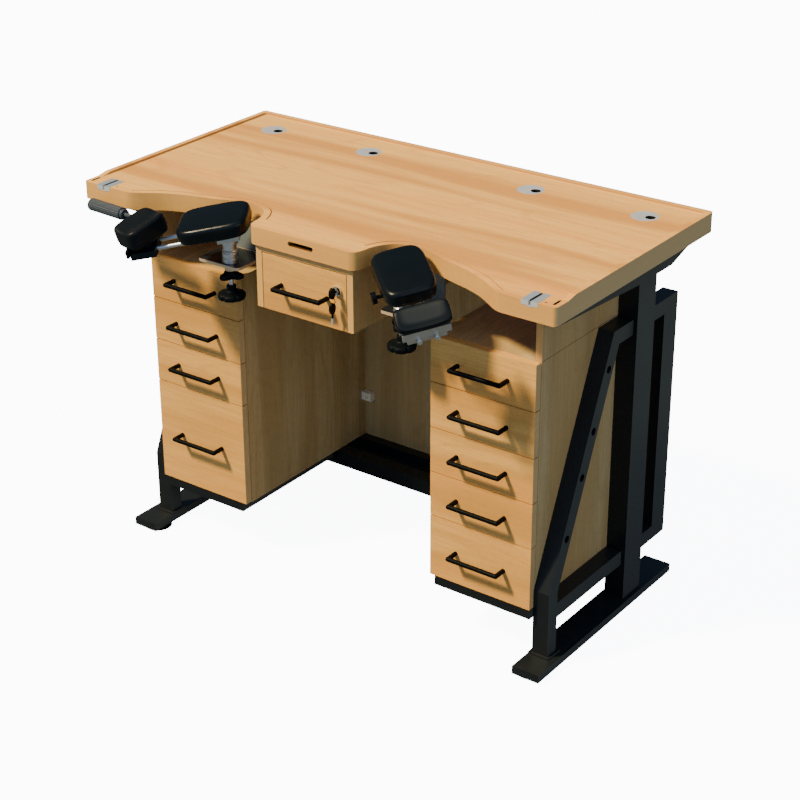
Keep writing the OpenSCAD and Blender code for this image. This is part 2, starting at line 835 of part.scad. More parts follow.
// the slim members, moved inwards by a wall; the leg stands open on its base plate
module slim_members(wall) {
    from = frame_inner + wall;
    to = frame_inner + tube_width - wall;
    post_back = post_front + post_depth;
    side_profile(from, to, leg_outline(wall, foot_top, top_rail_height - wall));
    side_profile(from, to, member([diagonal_face(top_rail_height), top_rail_height - tube_depth],
        [post_back, top_rail_height], wall));
    side_profile(from, to, member([leg_front, bottom_rail_height],
        [post_back, bottom_rail_height + tube_depth], wall));
    side_profile(from, to, member([post_front, bottom_rail_height], [post_back, top_rail_height], wall));
}

// the foot, the column and the top arm, moved inwards by a wall
module wide_members(wall) {
    block([frame_inner - foot_inset + wall, foot_front + wall, glide_height + wall],
        [frame_inner - foot_inset + foot_width - wall, foot_front + foot_length - wall, foot_top - wall]);
    side_profile(frame_inner + wall, frame_inner + column_width - wall,
        member([column_front, foot_top - wall], [column_front + column_depth, board_under], wall));
    side_profile(frame_inner + wall, frame_inner + column_width - wall, arm_outline(wall));
}

// middle of the diagonal at a height
function diagonal_middle(height) = diagonal_face(height) + tube_depth / 2 / cos(lean);

module at_frame_bolts() {
    for (height = bolt_heights)
        translate([frame_inner, diagonal_middle(height), height]) rotate([0, 90, 0]) children();
}

module at_glides() {
    for (y = [foot_front + glide_end, foot_front + foot_length - glide_end])
        translate([frame_inner - foot_inset + foot_width / 2 - glide_shift, y, 0]) children();
}

// one side frame, welded from hollow tubes
module side_frame() {
    color(steel_black) difference() {
        union() {
            slim_members(0);
            wide_members(0);
            block([frame_inner - base_lip, leg_front - base_lip, foot_top],
                [frame_inner + tube_width + base_lip, leg_front + tube_depth + base_lip, foot_top + base_plate]);
        }
        slim_members(tube_wall);
        wide_members(tube_wall);
        at_frame_bolts() {
            translate([0, 0, -over]) cylinder(h = tube_wall + 2 * over, r = bolt_radius + play);
            translate([0, 0, tube_width - tube_wall - over])
                cylinder(h = tube_wall + 2 * over, r = bolt_access_radius);
        }
        at_glides() cylinder(h = glide_height + tube_wall + over, r = glide_stem_radius);
    }
}

module frame_left() {
    mirror([1, 0, 0]) side_frame();
}

module frame_right() {
    side_frame();
}

// one square tube between the frames, open at its ends
module crossbar(front) {
    top = pedestal_bottom;
    difference() {
        block([-frame_inner, front, top - bar_side], [frame_inner, front + bar_side, top]);
        block([-frame_inner - over, front + tube_wall, top - bar_side + tube_wall],
            [frame_inner + over, front + bar_side - tube_wall, top - tube_wall]);
    }
}

// rails that carry one pedestal in front of the middle crossbar
module pedestal_support() {
    inner = frame_inner - pedestal_width + support_inset;
    low = pedestal_bottom - support_height;
    front = fronts_setback + over;
    block([inner, front, low], [frame_inner, front + support_thickness, pedestal_bottom]);
    for (x = [inner, frame_inner - support_thickness])
        block([x, front, low], [x + support_thickness, mid_bar_front + tube_wall, pedestal_bottom]);
}

module crossbars() {
    color(steel_black) {
        crossbar(mid_bar_front);
        crossbar(rear_bar_front);
        both_sides() pedestal_support();
    }
}

module glides() {
    color(plastic) both_sides() at_glides() {
        cylinder(h = glide_height, r = glide_radius);
        cylinder(h = glide_height + glide_stem_height, r = glide_stem_radius);
    }
}

// bolts from inside the diagonals into the pedestals' outer sides
module frame_bolts() {
    color(zinc) both_sides() at_frame_bolts() difference() {
        union() {
            translate([0, 0, -bolt_grip]) cylinder(h = bolt_grip + tube_wall + over, r = bolt_radius);
            translate([0, 0, tube_wall]) cylinder(h = bolt_head_height, r = bolt_head_radius);
        }
        translate([0, 0, tube_wall + bolt_head_height - bolt_socket_depth])
            cylinder(h = bolt_socket_depth + over, r = bolt_socket_radius, $fn = 6);
    }
}

// one pedestal's case on the right, open at the front
module pedestal_case() {
    outer = frame_inner;
    inner = frame_inner - pedestal_width;
    color(beech) difference() {
        block([inner, case_front, pedestal_bottom], [outer, pedestal_back, pedestal_top]);
        block([inner + board, case_front - over, pedestal_bottom + board],
            [outer - board, pedestal_back - back_board, pedestal_top - board]);
        at_frame_bolts() translate([0, 0, -bolt_grip]) cylinder(h = bolt_grip + over, r = bolt_radius);
    }
}

module case_left() {
    mirror([1, 0, 0]) pedestal_case();
}

module case_right() {
    pedestal_case();
}

// the centre drawer's case: two sides and a top, with a slot for the latch
module case_center() {
    half = pedestal_width / 2;
    back = centre_setback + centre_length;
    color(beech) difference() {
        block([-half, centre_setback, centre_bottom], [half, back, board_under]);
        block([-half + board, centre_setback - over, centre_bottom - over],
            [half - board, back + over, board_under - board]);
        translate([lock_side, 0, lock_height]) rod_along_y(latch_front - part_gap,
            latch_front + latch_thickness + part_gap, latch_length + part_gap);
    }
}

module risers() {
    color(beech) both_sides()
        block([frame_inner - board, case_front, pedestal_top], [frame_inner, pedestal_back, board_under]);
}

module back_panel() {
    half = frame_inner - pedestal_width;
    color(beech) block([-half, back_panel_front, pedestal_bottom],
        [half, back_panel_front + board, pedestal_top]);
}

// blocks that hold the back panel to the pedestals
module corner_blocks() {
    half = frame_inner - pedestal_width;
    color(block_plastic) both_sides() for (height = block_heights) difference() {
        block([half - block_side, back_panel_front - block_side / 2, height],
            [half, back_panel_front, height + block_height]);
        translate([half - block_side / 2, back_panel_front - block_side / 2 - over, height + block_height / 2])
            rod_along_y(0, block_side / 3, block_height / 4);
    }
}

// upper and lower edge of a drawer front, counted from the top of its pedestal
function front_high(index) = pedestal_top - (index - 1) * small_pitch;
function front_low(index, count) = index == count ? pedestal_bottom : pedestal_top - index * small_pitch;

// a runner strip or its groove on the right side of the middle, from the case's side inwards
module runner(half, from, to, low, room) {
    block([half - runner_depth - room, from, low - room], [half + over, to, low + runner_height + room]);
}

// a drawer: its front and, behind it, an open box with a groove on each side
module drawer(front_half, front, low, high, box_low, box_high, length) {
    back = front + front_thickness;
    half = box_width / 2;
    color(beech) difference() {
        union() {
            block([-front_half, front, low], [front_half, back, high]);
            block([-half, back - over, box_low], [half, back + length, box_high]);
        }
        block([box_side - half, back, box_low + box_bottom],
            [half - box_side, back + length - box_side, high + over]);
        both_sides() runner(half + box_gap, back, back + length + over, box_low + runner_rise, runner_play);
        for (x = [-handle_spacing / 2, handle_spacing / 2])
            translate([x, 0, (low + high) / 2]) rod_along_y(front - over, back + over, stud_radius + play);
    }
}

module pedestal_drawer(side, index, count) {
    low = front_low(index, count);
    high = front_high(index);
    translate([side * pedestal_middle, 0, 0])
        drawer(pedestal_width / 2, fronts_setback, low + front_gap, high,
            low + board + box_clear, high - board - box_clear, box_length);
}

module drawer_center() {
    color(beech) difference() {
        drawer(pedestal_width / 2 - board - front_gap, centre_setback, centre_bottom,
            board_under - board - front_gap, centre_bottom + box_clear,
            lock_height - latch_width / 2 - box_clear, centre_box_length);
        translate([lock_side, 0, lock_height])
            rod_along_y(centre_setback - over, barrel_end, barrel_radius + play);
    }
}

// a bar handle with its two fixing screws, around the middle of a drawer front
module handle(front, low, high) {
    bar = front - handle_reach;
    back = front + front_thickness;
    legs = [-handle_spacing / 2, handle_spacing / 2];
    translate([0, 0, (low + high) / 2]) {
        color(plastic) difference() {
            union() {
                translate([0, bar, 0]) rod_along_x(legs[0], legs[1], handle_radius);
                for (x = legs) translate([x, 0, 0]) {
                    rod_along_y(bar, front, handle_radius);
                    translate([0, bar, 0]) sphere(handle_radius);
                }
            }
            for (x = legs)
                translate([x, 0, 0]) rod_along_y(front - stud_grip, front + over, stud_radius + play);
        }
        color(zinc) for (x = legs) translate([x, 0, 0]) {
            rod_along_y(front - stud_grip + over, back + over, stud_radius);
            rod_along_y(back, back + screw_head_height, 2 * stud_radius);
        }
    }
}

module pedestal_handle(side, index, count) {
    translate([side * pedestal_middle, 0, 0])
        handle(fronts_setback, front_low(index, count) + front_gap, front_high(index));
}

module handle_center() {
    handle(centre_setback, centre_bottom, board_under - board - front_gap);
}

// one strip on the right side of the middle, above the underside of its drawer's space
module runner_strip(half, from, to, bottom) {
    low = bottom + box_clear + runner_rise;
    block([half - runner_depth, from, low], [half, to, low + runner_height]);
}

// strips that carry the drawers
module runners() {
    half = box_width / 2 + box_gap;
    start = case_front + 2 * over;
    color(strip_wood) {
        for (i = [1:left_count])
            translate([-pedestal_middle, 0, 0]) both_sides()
                runner_strip(half, start, start + runner_length, front_low(i, left_count) + board);
        for (i = [1:right_count])
            translate([pedestal_middle, 0, 0]) both_sides()
                runner_strip(half, start, start + runner_length, front_low(i, right_count) + board);
        both_sides() runner_strip(half, centre_setback + front_thickness + 2 * over,
            centre_setback + centre_length - 2 * over, centre_bottom);
    }
}

// the lock's collar and barrel in the centre drawer
module lock() {
    front = centre_setback - lock_reach;
    color(aluminium) translate([lock_side, 0, lock_height]) difference() {
        union() {
            rod_along_y(front, centre_setback, lock_radius);
            rod_along_y(centre_setback - over, barrel_end, barrel_radius);
        }
        rod_along_y(front - over, barrel_end + over, plug_radius + running);
    }
}

// the turning plug with its keyway and the latch on its end, in the open position
module lock_plug() {
    front = centre_setback - lock_reach;
    color(zinc) translate([lock_side, 0, lock_height]) difference() {
        union() {
            rod_along_y(front, latch_front + latch_thickness, plug_radius);
            block([-latch_width / 2, latch_front, 0],
                [latch_width / 2, latch_front + latch_thickness, latch_length - latch_width / 2]);
            translate([0, 0, latch_length - latch_width / 2])
                rod_along_y(latch_front, latch_front + latch_thickness, latch_width / 2);
        }
        block([-key_blade_thickness / 2, front - over, -key_blade / 2],
            [key_blade_thickness / 2, front + key_blade_length, key_blade / 2]);
    }
}

// an upright oval grip with a hole near one end, standing across the keyway's plane
module key_grip(hole) {
    difference() {
        rotate([0, 90, 0]) translate([0, 0, -key_grip_thickness / 2]) linear_extrude(key_grip_thickness)
            polygon([for (i = [0:35]) [key_grip_half * cos(10 * i), key_grip_narrow * sin(10 * i)]]);
        translate([0, 0, hole]) rod_along_x(-key_grip_thickness, key_grip_thickness, key_hole);
    }
}

module at_key() {
    translate([lock_side, centre_setback - lock_reach - key_stand - key_grip_narrow, lock_height]) children();
}

module key() {
    tip = key_grip_narrow + key_stand + key_blade_length;
    at_key() {
        color(plastic) key_grip(key_eye - key_grip_half);
        color(aluminium) block([-key_blade_thickness / 2, key_grip_narrow - over, -key_blade / 2],
            [key_blade_thickness / 2, tip, key_blade / 2]);
    }
}

// the ring in the key's eye with the spare key hanging from it
module spare_key() {
    eye = key_grip_half - key_eye;
    ring_drop = eye + ring_radius - ring_wire + key_hole - part_gap - play;
    spare_drop = 2 * ring_drop;
    at_key() {
        color(aluminium) translate([0, 0, -ring_drop]) rotate([90, 0, 0])
            rotate_extrude() translate([ring_radius, 0]) circle(ring_wire, $fn = 16);
        translate([0, 0, -spare_drop]) {
            color(plastic) key_grip(key_grip_half - key_eye);
            color(aluminium) block([-key_blade_thickness / 2, -key_blade / 2, -key_grip_half - key_blade_length],
                [key_blade_thickness / 2, key_blade / 2, over - key_grip_half]);
        }
    }
}

// the bracket under the board that carries one armrest
module bracket() {
    middle = rest_side + shelf_shift;
    low = shelf_top - bracket_thickness;
    lead = rest_front - shelf_lead;
    r = bracket_corner;
    half = shelf_width / 2;
    wide_back = lead + shelf_depth;
    web_back = web_front + bracket_thickness;
    color(zinc) difference() {
        union() {
            translate([middle, 0, low]) linear_extrude(bracket_thickness) polygon(concat(
                corner(r - half, lead + r, r, 180), corner(half - r, lead + r, r, 270),
                [[half, wide_back], [web_width / 2, web_front], [web_width / 2, web_back],
                [-web_width / 2, web_back], [-web_width / 2, web_front], [-half, wide_back]]));
            block([middle - web_width / 2, web_front, low], [middle + web_width / 2, web_back, board_under]);
            block([middle - web_width / 2, web_front, board_under - bracket_thickness],
                [middle + web_width / 2, web_front + flange_length, board_under]);
            translate([rest_side, rest_front, low - bush_height])
                cylinder(h = bush_height + over, r = bush_radius);
        }
        translate([rest_side, rest_front, low - bush_height - over])
            cylinder(h = bush_height + bracket_thickness + 2 * over, r = guide_radius + running);
        at_bracket_screws() translate([0, 0, -bracket_thickness - over])
            cylinder(h = bracket_thickness + 2 * over, r = bracket_screw_radius);
    }
}

// the post: a guide in the bracket's bush, a stepped body and a spigot for the arm
module post() {
    step = post_radius - post_narrow;
    foot = part_gap;
    color(zinc) translate([rest_side, rest_front, shelf_top]) difference() {
        rotate_extrude() polygon(concat(
            [[0, -guide_length], [guide_radius, -guide_length], [guide_radius, foot]],
            [for (p = post_shares) [post_radius - post_ring + post_ring * p[0],
                foot + (post_height - foot) * p[1]]],
            [[post_radius - step, foot + (post_height - foot) * post_shoulder_share],
            [post_radius - step, post_height],
            [spigot_radius, post_height], [spigot_radius, post_height + spigot_height],
            [0, post_height + spigot_height]]));
        translate([0, 0, -guide_length - over])
            cylinder(h = guide_length + post_height, r = screw_radius + running);
    }
}

// height of the star knob's underside and of the lifting knob's neck
star_low = shelf_top - bracket_thickness - bush_height - part_gap - star_height;
neck_top = star_low - neck_drop;

// the knob that clamps the post, with arms around a hub
module star_knob() {
    color(plastic) translate([rest_side, rest_front, star_low]) difference() {
        union() {
            cylinder(h = star_height, r = star_hub);
            for (i = [1:star_count]) rotate([0, 0, star_turn + 360 / star_count * i]) {
                block([0, -star_arm, 0], [star_radius - star_arm, star_arm, star_arm_height]);
                translate([star_radius - star_arm, 0, 0]) cylinder(h = star_arm_height, r = star_arm);
            }
        }
        translate([0, 0, -over]) cylinder(h = star_height + 2 * over, r = guide_radius + running);
    }
}

// the knob that lifts the post, with the screw that runs up inside it
module lower_knob() {
    low = neck_top - neck_height - disc_height;
    color(plastic) translate([rest_side, rest_front, low]) difference() {
        union() {
            cylinder(h = disc_height, r = disc_radius);
            for (i = [1:lobe_count]) rotate([0, 0, 360 / lobe_count * i])
                translate([disc_radius - over, 0, 0]) cylinder(h = disc_height, r = lobe_radius);
            cylinder(h = disc_height + neck_height, r = neck_radius);
        }
        translate([0, 0, -over]) cylinder(h = disc_height + neck_height + 2 * over, r = screw_radius);
    }
    color(zinc) translate([rest_side, rest_front, low])
        cylinder(h = shelf_top - low + guide_length / 2, r = screw_radius);
}

// a right arm's own place, with X towards the elbow and Z square to the pads
module arm_place(turn) {
    translate([rest_side, rest_front, pivot_height]) rotate([0, 0, -turn])
        rotate([0, arm_pitch, 0]) rotate([arm_roll, 0, 0]) children();
}

module at_rods() {
    for (y = [-rod_spacing / 2, rod_spacing / 2]) translate([0, y, 0]) children();
}

// head, swivel cap, carrier plate and rods of one arm, and a lug where a clamp knob goes
module arm(turn, hand, elbow, clamped) {
    cap_low = shelf_top + post_height + part_gap;
    color(zinc) difference() {
        union() {
            translate([rest_side, rest_front, cap_low]) cylinder(h = cap_height, r = cap_radius);
            arm_place(turn) {
                block([-head_half, -head_width / 2, -head_below], [head_half, head_width / 2, head_above]);
                block([hand - hand_length / 3, -hand_width / 3, head_above - over],
                    [hand + hand_length / 3, hand_width / 3, head_above + carrier_thickness]);
                at_rods() rod_along_x(-head_half + over, hand + elbow + rod_end, rod_radius);
                if (clamped) block([hand + clamp_offset - clamp_lug_half, clamp_lug, -head_above],
                    [hand + clamp_offset + clamp_lug_half, rod_spacing / 2, head_above - over]);
            }
        }
        if (clamped) arm_place(turn) translate([hand + clamp_offset, 0, 0])
            rod_along_y(clamp_lug - over, clamp_lug + clamp_pin_depth, screw_radius + running);
        translate([rest_side, rest_front, cap_low - over])
            cylinder(h = spigot_height + over, r = spigot_radius + running);
    }
}

// point on a cushion's outline, on a rounded rectangle of half size one
function cushion_point(angle) =
    [sign(cos(angle)) * pow(abs(cos(angle)), cushion_power),
    sign(sin(angle)) * pow(abs(sin(angle)), cushion_power)];

// a cushion with drawn-in edges; bulge lifts its middle, or sinks it along X when negative
module cushion(length, width, thickness, bulge) {
    count = 4 * cushion_steps;
    rows = [for (row = cushion_shares) for (i = [0:count - 1])
        let (p = row[0] * cushion_point(360 * i / count))
        [p[0] * length / 2, p[1] * width / 2, row[1] * (thickness + cushion_rise(p, bulge))]];
    points = concat(rows, [[0, 0, 0], [0, 0, thickness + cushion_rise([0, 0], bulge)]]);
    last = len(cushion_shares) - 1;
    polyhedron(points, concat(
        [for (k = [0:last - 1]) for (i = [0:count - 1]) each
            let (a = k * count + i, b = k * count + (i + 1) % count)
            [[a, a + count, b + count], [a, b + count, b]]],
        [for (i = [0:count - 1]) [i, (i + 1) % count, len(rows)]],
        [for (i = [0:count - 1]) [last * count + (i + 1) % count, last * count + i, len(rows) + 1]]));
}

// height added to a cushion at a place in shares of its half size
function cushion_rise(place, bulge) = bulge > 0
    ? bulge * (1 - place[0] * place[0]) * (1 - place[1] * place[1])
    : bulge * (1 - place[1] * place[1]);

module hand_pad(turn, hand, side) {
    color(padding) arm_place(turn)
        translate([hand, -side, head_above + carrier_thickness])
            cushion(hand_length, hand_width, hand_thickness, hand_crown);
}

// the carriage on the rods, with an end plate, a seat and a pivot pin for the elbow pad
module elbow_carriage(turn, place) {
    half = carriage_length / 2;
    color(zinc) arm_place(turn) difference() {
        union() {
            block([place - half, -carriage_width / 2, -carriage_below],
                [place + half, carriage_width / 2, head_above]);
            block([place + half - over, -end_plate_width / 2, elbow_rise - over - end_plate_height],
                [place + half + end_plate, end_plate_width / 2, elbow_rise - over]);
            translate([place, 0, 0]) {
                cylinder(h = elbow_rise - part_gap, r = seat_radius);
                cylinder(h = elbow_rise + pivot_pin_height, r = pivot_radius);
            }
        }
        at_rods() rod_along_x(place - half - over, place + half + end_plate + over, rod_radius + running);
    }
}

module elbow_pad(turn, place, own_turn) {
    color(padding) arm_place(turn) translate([place, 0, elbow_rise]) rotate([0, 0, own_turn])
        difference() {
            cushion(elbow_length, elbow_width, elbow_thickness, -elbow_hollow);
            translate([0, 0, -over])
                cylinder(h = pivot_pin_height + over + part_gap, r = pivot_radius + part_gap);
            if (own_turn > 0) at_grip()
                rod_along_x(elbow_length / 2 - grip_pin_depth - part_gap, elbow_length, grip_pin_radius + part_gap);
        }
}

module at_grip() {
    translate([0, grip_side, grip_rise]) rotate([0, 0, grip_turn]) children();
}

// the knurled grip beside the left elbow pad, on its pin
module grip() {
    place = left_hand + left_elbow;
    start = elbow_length / 2 + grip_stand;
    count = 2 * knurl_count;
    mirror([1, 0, 0]) arm_place(left_turn) translate([place, 0, elbow_rise])
        rotate([0, 0, left_elbow_turn]) at_grip() {
            color(zinc) rod_along_x(elbow_length / 2 - grip_pin_depth, start + over, grip_pin_radius);
            color(plastic) rod_along_x(start, start + collar_length, collar_radius);
            color(zinc) translate([start + collar_length - over, 0, 0]) rotate([0, 90, 0])
                linear_extrude(grip_length) polygon([for (i = [0:count - 1])
                    let (r = grip_radius - knurl_depth * (i % 2))
                    [r * cos(360 * i / count), r * sin(360 * i / count)]]);
        }
}

// the small knob on the right arm's lug
module clamp_knob() {
    arm_place(right_turn) translate([right_hand + clamp_offset, 0, 0]) {
        color(plastic) rod_along_y(-clamp_side, clamp_thickness - clamp_side, clamp_radius);
        color(zinc) rod_along_y(-clamp_side, clamp_lug + clamp_pin_depth - part_gap, screw_radius);
    }
}

centred() frame_left();
centred() frame_right();
centred() crossbars();
centred() glides();
centred() frame_bolts();
centred() worktop();
centred() inserts();
centred() corner_plates();
centred() screws();
centred() case_left();
centred() case_right();
centred() case_center();
centred() risers();
centred() back_panel();
centred() corner_blocks();
centred() runners();
centred() lock();
centred() lock_plug();
centred() key();
centred() spare_key();
centred() drawer_center();
centred() pedestal_drawer(-1, 1, left_count);  // drawer_left_1
centred() pedestal_drawer(-1, 2, left_count);  // drawer_left_2
centred() pedestal_drawer(-1, 3, left_count);  // drawer_left_3
centred() pedestal_drawer(-1, 4, left_count);  // drawer_left_4
centred() pedestal_drawer(1, 1, right_count);  // drawer_right_1
centred() pedestal_drawer(1, 2, right_count);  // drawer_right_2
centred() pedestal_drawer(1, 3, right_count);  // drawer_right_3
centred() pedestal_drawer(1, 4, right_count);  // drawer_right_4
centred() pedestal_drawer(1, 5, right_count);  // drawer_right_5
centred() handle_center();
centred() pedestal_handle(-1, 1, left_count);  // handle_left_1
centred() pedestal_handle(-1, 2, left_count);  // handle_left_2
centred() pedestal_handle(-1, 3, left_count);  // handle_left_3
centred() pedestal_handle(-1, 4, left_count);  // handle_left_4
centred() pedestal_handle(1, 1, right_count);  // handle_right_1
centred() pedestal_handle(1, 2, right_count);  // handle_right_2
centred() pedestal_handle(1, 3, right_count);  // handle_right_3
centred() pedestal_handle(1, 4, right_count);  // handle_right_4
centred() pedestal_handle(1, 5, right_count);  // handle_right_5
centred() mirror([1, 0, 0]) bracket();  // bracket_left
centred() mirror([1, 0, 0]) post();  // post_left
centred() mirror([1, 0, 0]) star_knob();  // star_knob_left
centred() mirror([1, 0, 0]) lower_knob();  // lower_knob_left
centred() mirror([1, 0, 0]) arm(left_turn, left_hand, left_elbow, false);  // arm_left
centred() mirror([1, 0, 0]) hand_pad(left_turn, left_hand, left_hand_side);  // hand_pad_left
centred() mirror([1, 0, 0]) elbow_carriage(left_turn, left_hand + left_elbow);  // elbow_carriage_left
centred() mirror([1, 0, 0]) elbow_pad(left_turn, left_hand + left_elbow, left_elbow_turn);  // elbow_pad_left
centred() bracket();  // bracket_right
centred() post();  // post_right
centred() star_knob();  // star_knob_right
centred() lower_knob();  // lower_knob_right
centred() arm(right_turn, right_hand, right_elbow, true);  // arm_right
centred() hand_pad(right_turn, right_hand, 0);  // hand_pad_right
centred() elbow_carriage(right_turn, right_hand + right_elbow);  // elbow_carriage_right
centred() elbow_pad(right_turn, right_hand + right_elbow, 0);  // elbow_pad_right
centred() grip();
centred() clamp_knob();
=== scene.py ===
"""Looks of a watchmakers bench: beech boards, black steel, metal fittings and moulded armrest pads."""

import math

import bpy
import numpy as np
from bpy.props import FloatProperty, FloatVectorProperty, PointerProperty
from bpy.types import Operator, Panel, PropertyGroup
from mathutils import Matrix, Vector


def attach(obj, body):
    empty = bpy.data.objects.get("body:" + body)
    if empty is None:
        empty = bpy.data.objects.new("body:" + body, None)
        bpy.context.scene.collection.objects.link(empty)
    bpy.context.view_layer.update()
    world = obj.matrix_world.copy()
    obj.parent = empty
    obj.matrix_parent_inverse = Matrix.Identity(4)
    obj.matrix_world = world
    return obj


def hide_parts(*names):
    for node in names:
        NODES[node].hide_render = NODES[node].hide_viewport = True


bl_info = {
    "name": "Watchmakers bench looks",
    "version": (1, 0, 0),
    "blender": (4, 5, 0),
    "location": "3D View > Sidebar > Bench",
    "description": "Materials, moulded pads, knobs and stage for a watchmakers bench",
    "category": "Object",
}

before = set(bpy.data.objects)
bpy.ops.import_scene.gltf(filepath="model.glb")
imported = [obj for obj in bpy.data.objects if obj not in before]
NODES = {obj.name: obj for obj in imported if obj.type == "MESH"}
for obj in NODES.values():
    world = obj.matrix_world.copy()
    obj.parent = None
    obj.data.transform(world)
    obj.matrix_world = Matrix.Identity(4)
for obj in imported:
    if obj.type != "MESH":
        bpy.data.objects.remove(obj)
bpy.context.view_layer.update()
MM = 0.001

LEFT_DRAWERS = [f"drawer_left_{i}" for i in range(1, 5)]
RIGHT_DRAWERS = [f"drawer_right_{i}" for i in range(1, 6)]
FRONTS = LEFT_DRAWERS + RIGHT_DRAWERS + ["drawer_center"]
CASES = ["case_left", "case_right", "case_center", "back_panel", "risers"]
HANDLES = [name.replace("drawer", "handle") for name in FRONTS]


def colour(name, text, default):
    """A colour property, given as linear red, green and blue."""
    return FloatVectorProperty(
        name=name, description=text, subtype="COLOR", size=3, min=0.0, max=1.0, default=default
    )


def length(name, text, default):
    """A length property, in metres."""
    return FloatProperty(name=name, description=text, unit="LENGTH", min=0.0, default=default)


def share(name, text, default, top=1.0):
    """A property without a unit, from nothing to its top value."""
    return FloatProperty(name=name, description=text, subtype="FACTOR", min=0.0, max=top, default=default)


class BenchWood(PropertyGroup):
    """Colours and grain of the beech boards."""

    light: colour("Light wood", "Beech between its growth bands", (0.95, 0.515, 0.13))
    dark: colour("Dark wood", "Beech in its growth bands", (0.60, 0.255, 0.048))
    warm: colour("Warm wood", "Reddish beech in broad patches", (0.91, 0.375, 0.078))
    # painted shade: a greyer, duller beech that stands in for shade on the cases, the back panel, the worktop's ends
    # and the drawer fronts' ends
    side: colour("Side wood", "Greyer beech of the pedestals and the back panel", (0.62, 0.46, 0.215))
    front: colour("Front wood", "Beech of the drawer fronts", (0.85, 0.455, 0.118))
    # lit and shaded copies of one beech: this warmer tone is the lit one, painted on the case faces that look forward
    edge: colour("Board edges", "Beech of the case edges that look forward", (0.76, 0.415, 0.115))
    # painted shade: a darker beech for the worktop's upright faces than for its top
    upright_shade: colour("Worktop band", "Beech of the worktop's upright edge", (0.66, 0.345, 0.092))
    # the riser joints' real dark wood, and painted shade inside the nose slot, the plate seats, the groove floors and
    # the rim walls
    gap: colour("Joint", "Dark wood inside slots, holes and joints", (0.10, 0.045, 0.012))
    # painted shade: the near-black insides of the narrow holes and slots
    deep: colour("Deep hole", "Wood inside the narrow holes and slots", (0.040, 0.024, 0.010))
    fleck: share("Flecks", "Strength of the short dark rays in the grain", 0.3)
    gloss: share("Roughness", "Roughness of the satin varnish", 0.42)


class BenchSteel(PropertyGroup):
    """Colours of the painted and bare metal."""

    paint: colour("Frame paint", "Powder coat of the frame", (0.0042, 0.0062, 0.0078))
    # painted light: a lighter coat on the frame's faces that look to the right and, faintly, on its top faces
    painted_sheen: colour("Frame sheen", "Powder coat of the faces that look to the right", (0.064, 0.063, 0.054))
    handle: colour("Handle paint", "Satin black of the bar handles", (0.0014, 0.0022, 0.0030))
    zinc: colour("Zinc", "Zinc-plated steel of the armrests", (0.76, 0.56, 0.36))
    dull: colour("Dull plate", "Zinc of the right elbow pad's carriage", (0.56, 0.50, 0.43))
    aluminium: colour("Aluminium", "Inserts and corner plates", (0.90, 0.92, 0.94))
    # painted shade: a near-black zinc for the brackets' flat faces and the whole left carriage, which the pads shade
    shade: colour("Zinc shade", "Bracket faces and left carriage, which the pads keep dark", (0.014, 0.020, 0.028))
    # painted shade: a darker, cooler zinc over the brackets' upper parts, which also offsets the warm reflection of
    # the wood
    plate: colour("Bracket plate", "Zinc of the brackets' upright plates", (0.25, 0.29, 0.30))
    plastic: colour("Plastic", "Black plastic of the knobs", (0.0020, 0.0036, 0.0050))


class BenchPads(PropertyGroup):
    """Shape and colour of the armrest pads."""

    cover: colour("Pad cover", "Moulded skin of the pads", (0.0030, 0.0050, 0.0066))
    # painted light: a lighter skin over the top of the right elbow pad, standing in for the light it catches
    painted_highlight: colour("Painted highlight", "Skin where an elbow has rubbed it", (0.020, 0.0235, 0.0245))
    edge: length("Edge radius", "Rounding of a pad's upper edge", 0.0105)
    seam: length("Parting line", "Depth of the line that the mould leaves round a pad", 0.0006)
    gloss: share("Hand pad roughness", "Roughness of the hand pads' skin", 0.27)
    matt: share("Elbow pad roughness", "Roughness of the elbow pads' skin", 0.42)


class BenchStage(PropertyGroup):
    """Light and floor around the bench."""

    floor: colour("Floor", "Pale floor under the bench", (0.86, 0.87, 0.93))
    bounce: share("Floor bounce", "Share of the floor's brightness that lights the bench", 0.11)
    ambient: FloatVectorProperty(
        name="Soft light colour", description="Colour of the light from all round", subtype="COLOR", size=3,
        min=0.0, default=(0.60, 0.92, 1.5),
    )
    tint: colour("Bounce tint", "Colour of the light that comes back from the floor", (0.55, 0.82, 1.0))
    glow: share("Floor glow", "Light added to the floor where the camera sees it", 12.0, 20.0)
    key: share("Key light", "Strength of the main light from the left front", 7.3, 20.0)
    side: share("Side light", "Strength of the light from the right", 0.47, 20.0)
    sky: share("Soft light", "Strength of the light from all round", 0.20, 20.0)
    softness: FloatProperty(
        name="Shadow softness", description="Width of the main light as seen from the bench",
        subtype="ANGLE", min=0.0, default=math.radians(7),
    )


# ---- places and colours of small details

# Each box below is a pair of corners in metres, with X counted outwards from the bench's middle.

# painted shade inside the nose slot and in the seats of the corner plates
RECESS_SHADE_BOXES = (
    ((-0.0360, -0.2578, 0.9050), (0.0360, -0.1900, 0.9290)),
    ((0.5660, -0.2580, 0.9200), (0.6080, -0.2070, 0.9346)),
)
# painted shade in the pilot holes beside the two plates, and in the short slots beside the corners
HOLE_SHADE_BOXES = (
    ((0.5536, -0.2479, 0.9100), (0.5604, -0.2411, 0.9346)),
    ((0.6136, -0.2479, 0.9100), (0.6204, -0.2411, 0.9346)),
    ((0.6327, -0.2465, 0.9200), (0.6393, -0.2200, 0.9352)),
)
# floors of the grooves round the cut-outs and walls of the raised rim, which take painted shade
GROOVES = ((0.0, -0.3, 0.9320), (0.649, 0.4, 0.9346))
RIM_WALLS = ((0.0, -0.25, 0.9351), (0.649, 0.4, 0.9398))
